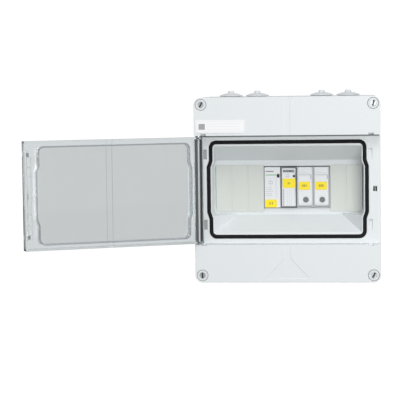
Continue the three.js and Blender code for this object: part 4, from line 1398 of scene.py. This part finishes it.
@dataclass
class Wiring:
    """Earth bar and its holder, the copper comb and the four internal wires."""

    shop: Bodyshop
    radius: float = 1.9 * MM
    terminal_y: float = -34 * MM
    inside: float = 39 * MM
    looks: dict[str, Stock] = field(default_factory=lambda: {
        "wire_surge_feed": Stock.RED, "wire_relay_feed": Stock.RED,
        "wire_surge_earth": Stock.EARTH, "wire_relay_return": Stock.BLUE,
    })

    def middle(self, node: str) -> float:
        """Returns the X of a node's middle."""
        low, high = self.shop.box(node)
        return (low.x + high.x) / 2

    def routes(self) -> dict[str, list[tuple[float, float, float]]]:
        """Returns each wire's points, from one terminal entry to the next."""
        relay, surge = self.middle("relay_body"), self.middle("surge_base")
        first, second = self.middle("fuse_base_1"), self.middle("fuse_base_2")
        y, inside = self.terminal_y, self.inside
        bar_low, bar_high = self.shop.box("earth_bar")
        bar_y, bar_z = -17 * MM, (bar_low.z + bar_high.z) / 2

        def to_bar(start: float, end: float) -> list[tuple[float, float, float]]:
            """Returns the route from a lower terminal down to the earth bar."""
            return [(start, y, -inside), (start, y, -51 * MM), (start, y + 4 * MM, -57 * MM),
                    (end, bar_y - 3 * MM, -62 * MM), (end, bar_y, -66 * MM), (end, bar_y, bar_z)]

        return {
            "wire_surge_feed": [
                (first, y, inside), (first, y, 52 * MM), (first - 2 * MM, y - 1 * MM, 60 * MM),
                (first - 9 * MM, y - 2 * MM, 65 * MM), (surge + 2 * MM, y - 1 * MM, 60 * MM),
                (surge, y, 52 * MM), (surge, y, inside),
            ],
            "wire_relay_feed": [
                (second, y, inside), (second, y, 54 * MM), (second - 4 * MM, y + 6 * MM, 66 * MM),
                (second - 16 * MM, y + 9 * MM, 73 * MM), (relay + 16 * MM, y + 9 * MM, 73 * MM),
                (relay + 4 * MM, y + 6 * MM, 66 * MM), (relay, y, 54 * MM), (relay, y, inside),
            ],
            "wire_surge_earth": to_bar(surge, 0.0),
            "wire_relay_return": to_bar(relay, -18 * MM),
        }

    def build(self) -> None:
        """Builds the metal pieces and sweeps the wires."""
        self.shop.soften("earth_bar_holder", "earth_bar_bracket", Stock.DARK, 0.4 * MM)
        self.shop.soften("earth_bar", "earth_terminal_bar", Stock.BRASS, 0.3 * MM)
        self.shop.soften("link_busbar", "copper_comb_bar", Stock.COPPER, 0.2 * MM)
        angle = np.linspace(0, 2 * np.pi, 20, endpoint=False)
        section = self.radius * np.stack([np.cos(angle), np.sin(angle)], axis=-1)
        for node, points in self.routes().items():
            path = curve_through(np.array(points), 1.5 * MM)
            across, lift = tube_frames(path)
            piece = swept(f"{node}_insulation", path, across, lift, section, False)
            self.add_uv(piece, path)
            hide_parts(node)
            self.shop.finish(piece, self.looks[node], "root")

    @staticmethod
    def add_uv(piece: bpy.types.Object, path: np.ndarray) -> None:
        """Adds a UV map whose U is the way round the wire and whose V is the way along it.

        Args:
            piece: the wire.
            path: its middle line, of shape (n, 3).
        """
        mesh = piece.data
        points = np.empty(len(mesh.vertices) * 3)
        mesh.vertices.foreach_get("co", points)
        points = points.reshape(-1, 3)
        nearest = np.argmin(np.linalg.norm(points[:, None] - path[None], axis=2), axis=1)
        across, lift = tube_frames(path)
        offset = points - path[nearest]
        turn = np.arctan2((offset * lift[nearest]).sum(1), (offset * across[nearest]).sum(1)) / (2 * np.pi)
        loops = np.empty(len(mesh.loops), dtype=np.int32)
        mesh.loops.foreach_get("vertex_index", loops)
        layer = mesh.uv_layers.new(name="UVMap")
        uv = np.stack([turn[loops] + 0.5, nearest[loops] / len(path)], axis=-1)
        layer.data.foreach_set("uv", uv.ravel())


@dataclass
class Studio:
    """Pale floor, soft light and the camera."""

    eye: tuple[float, float, float] = (0.072, -1.829, 0.116)
    yaw: float = 5.53
    pitch: float = -4.19
    roll: float = 0.71
    lens: float = 144.0
    floor_height: float = -0.6
    floor_size: float = 12.0
    fill: float = 0.56
    backdrop: float = 1.05
    aim: tuple[float, float, float] = (0.0, -0.06, 0.0)
    softboxes: tuple[tuple[str, tuple[float, float, float], float, float], ...] = (
        ("key_light", (0.35, -1.5, 1.7), 1.2, 16.5), ("front_light", (0.55, -2.2, 0.15), 0.8, 17.0),
    )

    def build(self) -> None:
        """Builds the studio."""
        self.add_floor()
        self.add_world()
        for name, place, size, power in self.softboxes:
            self.add_softbox(name, place, size, power)
        self.add_camera()

    def add_floor(self) -> None:
        """Adds a wide, plain, pale floor well under the part: white to the eye, softer as a light."""
        side = self.floor_size / 2
        corners = np.array([[-side, -side], [side, -side], [side, side], [-side, side]])
        points = np.column_stack([corners, np.full(4, self.floor_height)])
        floor = link_mesh("studio_floor", points, np.array([[0, 1, 2, 3]]))
        bench = Bench("pale_floor")
        cloud = bench.noise(0.8, 2.0)
        colour = bench.blend(cloud, (0.42, 0.42, 0.42), (0.46, 0.46, 0.46))
        matt = bench.add("ShaderNodeBsdfDiffuse", {}, {"Color": colour})
        white = bench.add("ShaderNodeEmission", {}, {"Color": WHITE_LIGHT, "Strength": self.backdrop})
        mix = bench.add("ShaderNodeMixShader", {}, {
            0: bench.looked_at(), 1: matt.out("BSDF"), 2: white.out("Emission"),
        })
        bench.add("ShaderNodeOutputMaterial", {}, {"Surface": mix.out("Shader")})
        floor.data.materials.append(bench.material)

    def add_world(self) -> None:
        """Adds an even white surrounding, a little dimmer as a light than as a background."""
        bench = Bench("studio_world", world=True)
        lit = bench.add("ShaderNodeBackground", {}, {"Color": (0.97, 0.985, 1.0, 1.0), "Strength": self.fill})
        seen = bench.add("ShaderNodeBackground", {}, {"Color": WHITE_LIGHT, "Strength": self.backdrop})
        mix = bench.add("ShaderNodeMixShader", {}, {
            0: bench.looked_at(), 1: lit.out("Background"), 2: seen.out("Background"),
        })
        bench.add("ShaderNodeOutputWorld", {}, {"Surface": mix.out("Shader")})
        bpy.context.scene.world = bench.material

    def add_softbox(self, name: str, place: tuple[float, float, float], size: float, power: float) -> None:
        """Adds a square area light aimed at the middle of the part.

        Args:
            name: the light's name.
            place: its middle.
            size: its side.
            power: its power in watts.
        """
        lamp = bpy.data.lights.new(name, "AREA")
        lamp.shape = "SQUARE"
        lamp.size = size
        lamp.energy = power
        carrier = show(name, lamp)
        carrier.location = place
        carrier.rotation_euler = (Vector(self.aim) - Vector(place)).to_track_quat("-Z", "Y").to_euler()

    def add_camera(self) -> None:
        """Adds the camera at its place, turned by yaw, pitch and roll from looking along +Y."""
        data = bpy.data.cameras.new("camera")
        data.lens = self.lens
        data.sensor_width = 36.0
        data.clip_start, data.clip_end = 0.05, 50.0
        turn = (
            Matrix.Rotation(math.radians(self.yaw), 4, "Z")
            @ Matrix.Rotation(math.radians(self.pitch), 4, "X")
            @ Matrix.Rotation(math.radians(self.roll), 4, "Y")
            @ Matrix.Rotation(math.pi / 2, 4, "X")
        )
        camera = show("camera", data)
        camera.matrix_world = Matrix.Translation(Vector(self.eye)) @ turn
        bpy.context.scene.camera = camera


def main() -> None:
    """Builds the studio and every sub-assembly in order, reporting each."""
    logging.basicConfig(level=logging.INFO, format="%(name)s: %(message)s")
    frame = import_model()
    bpy.context.scene.view_settings.view_transform = "Standard"
    shop = Bodyshop(frame, Paintbox())
    parts = [
        Studio(), Enclosure(shop), WindowSeal(shop), WindowDoor(shop), CableEntries(shop), RailSet(shop),
        RelayModule(shop), SurgeModule(shop), FuseModule(shop, 1), FuseModule(shop, 2), Terminals(shop),
        Labels(shop), Wiring(shop),
    ]
    for part in parts:
        before = len(bpy.data.objects)
        part.build()
        LOG.info("%s: %d pieces", type(part).__name__, len(bpy.data.objects) - before)


if __name__ == "__main__":
    main()
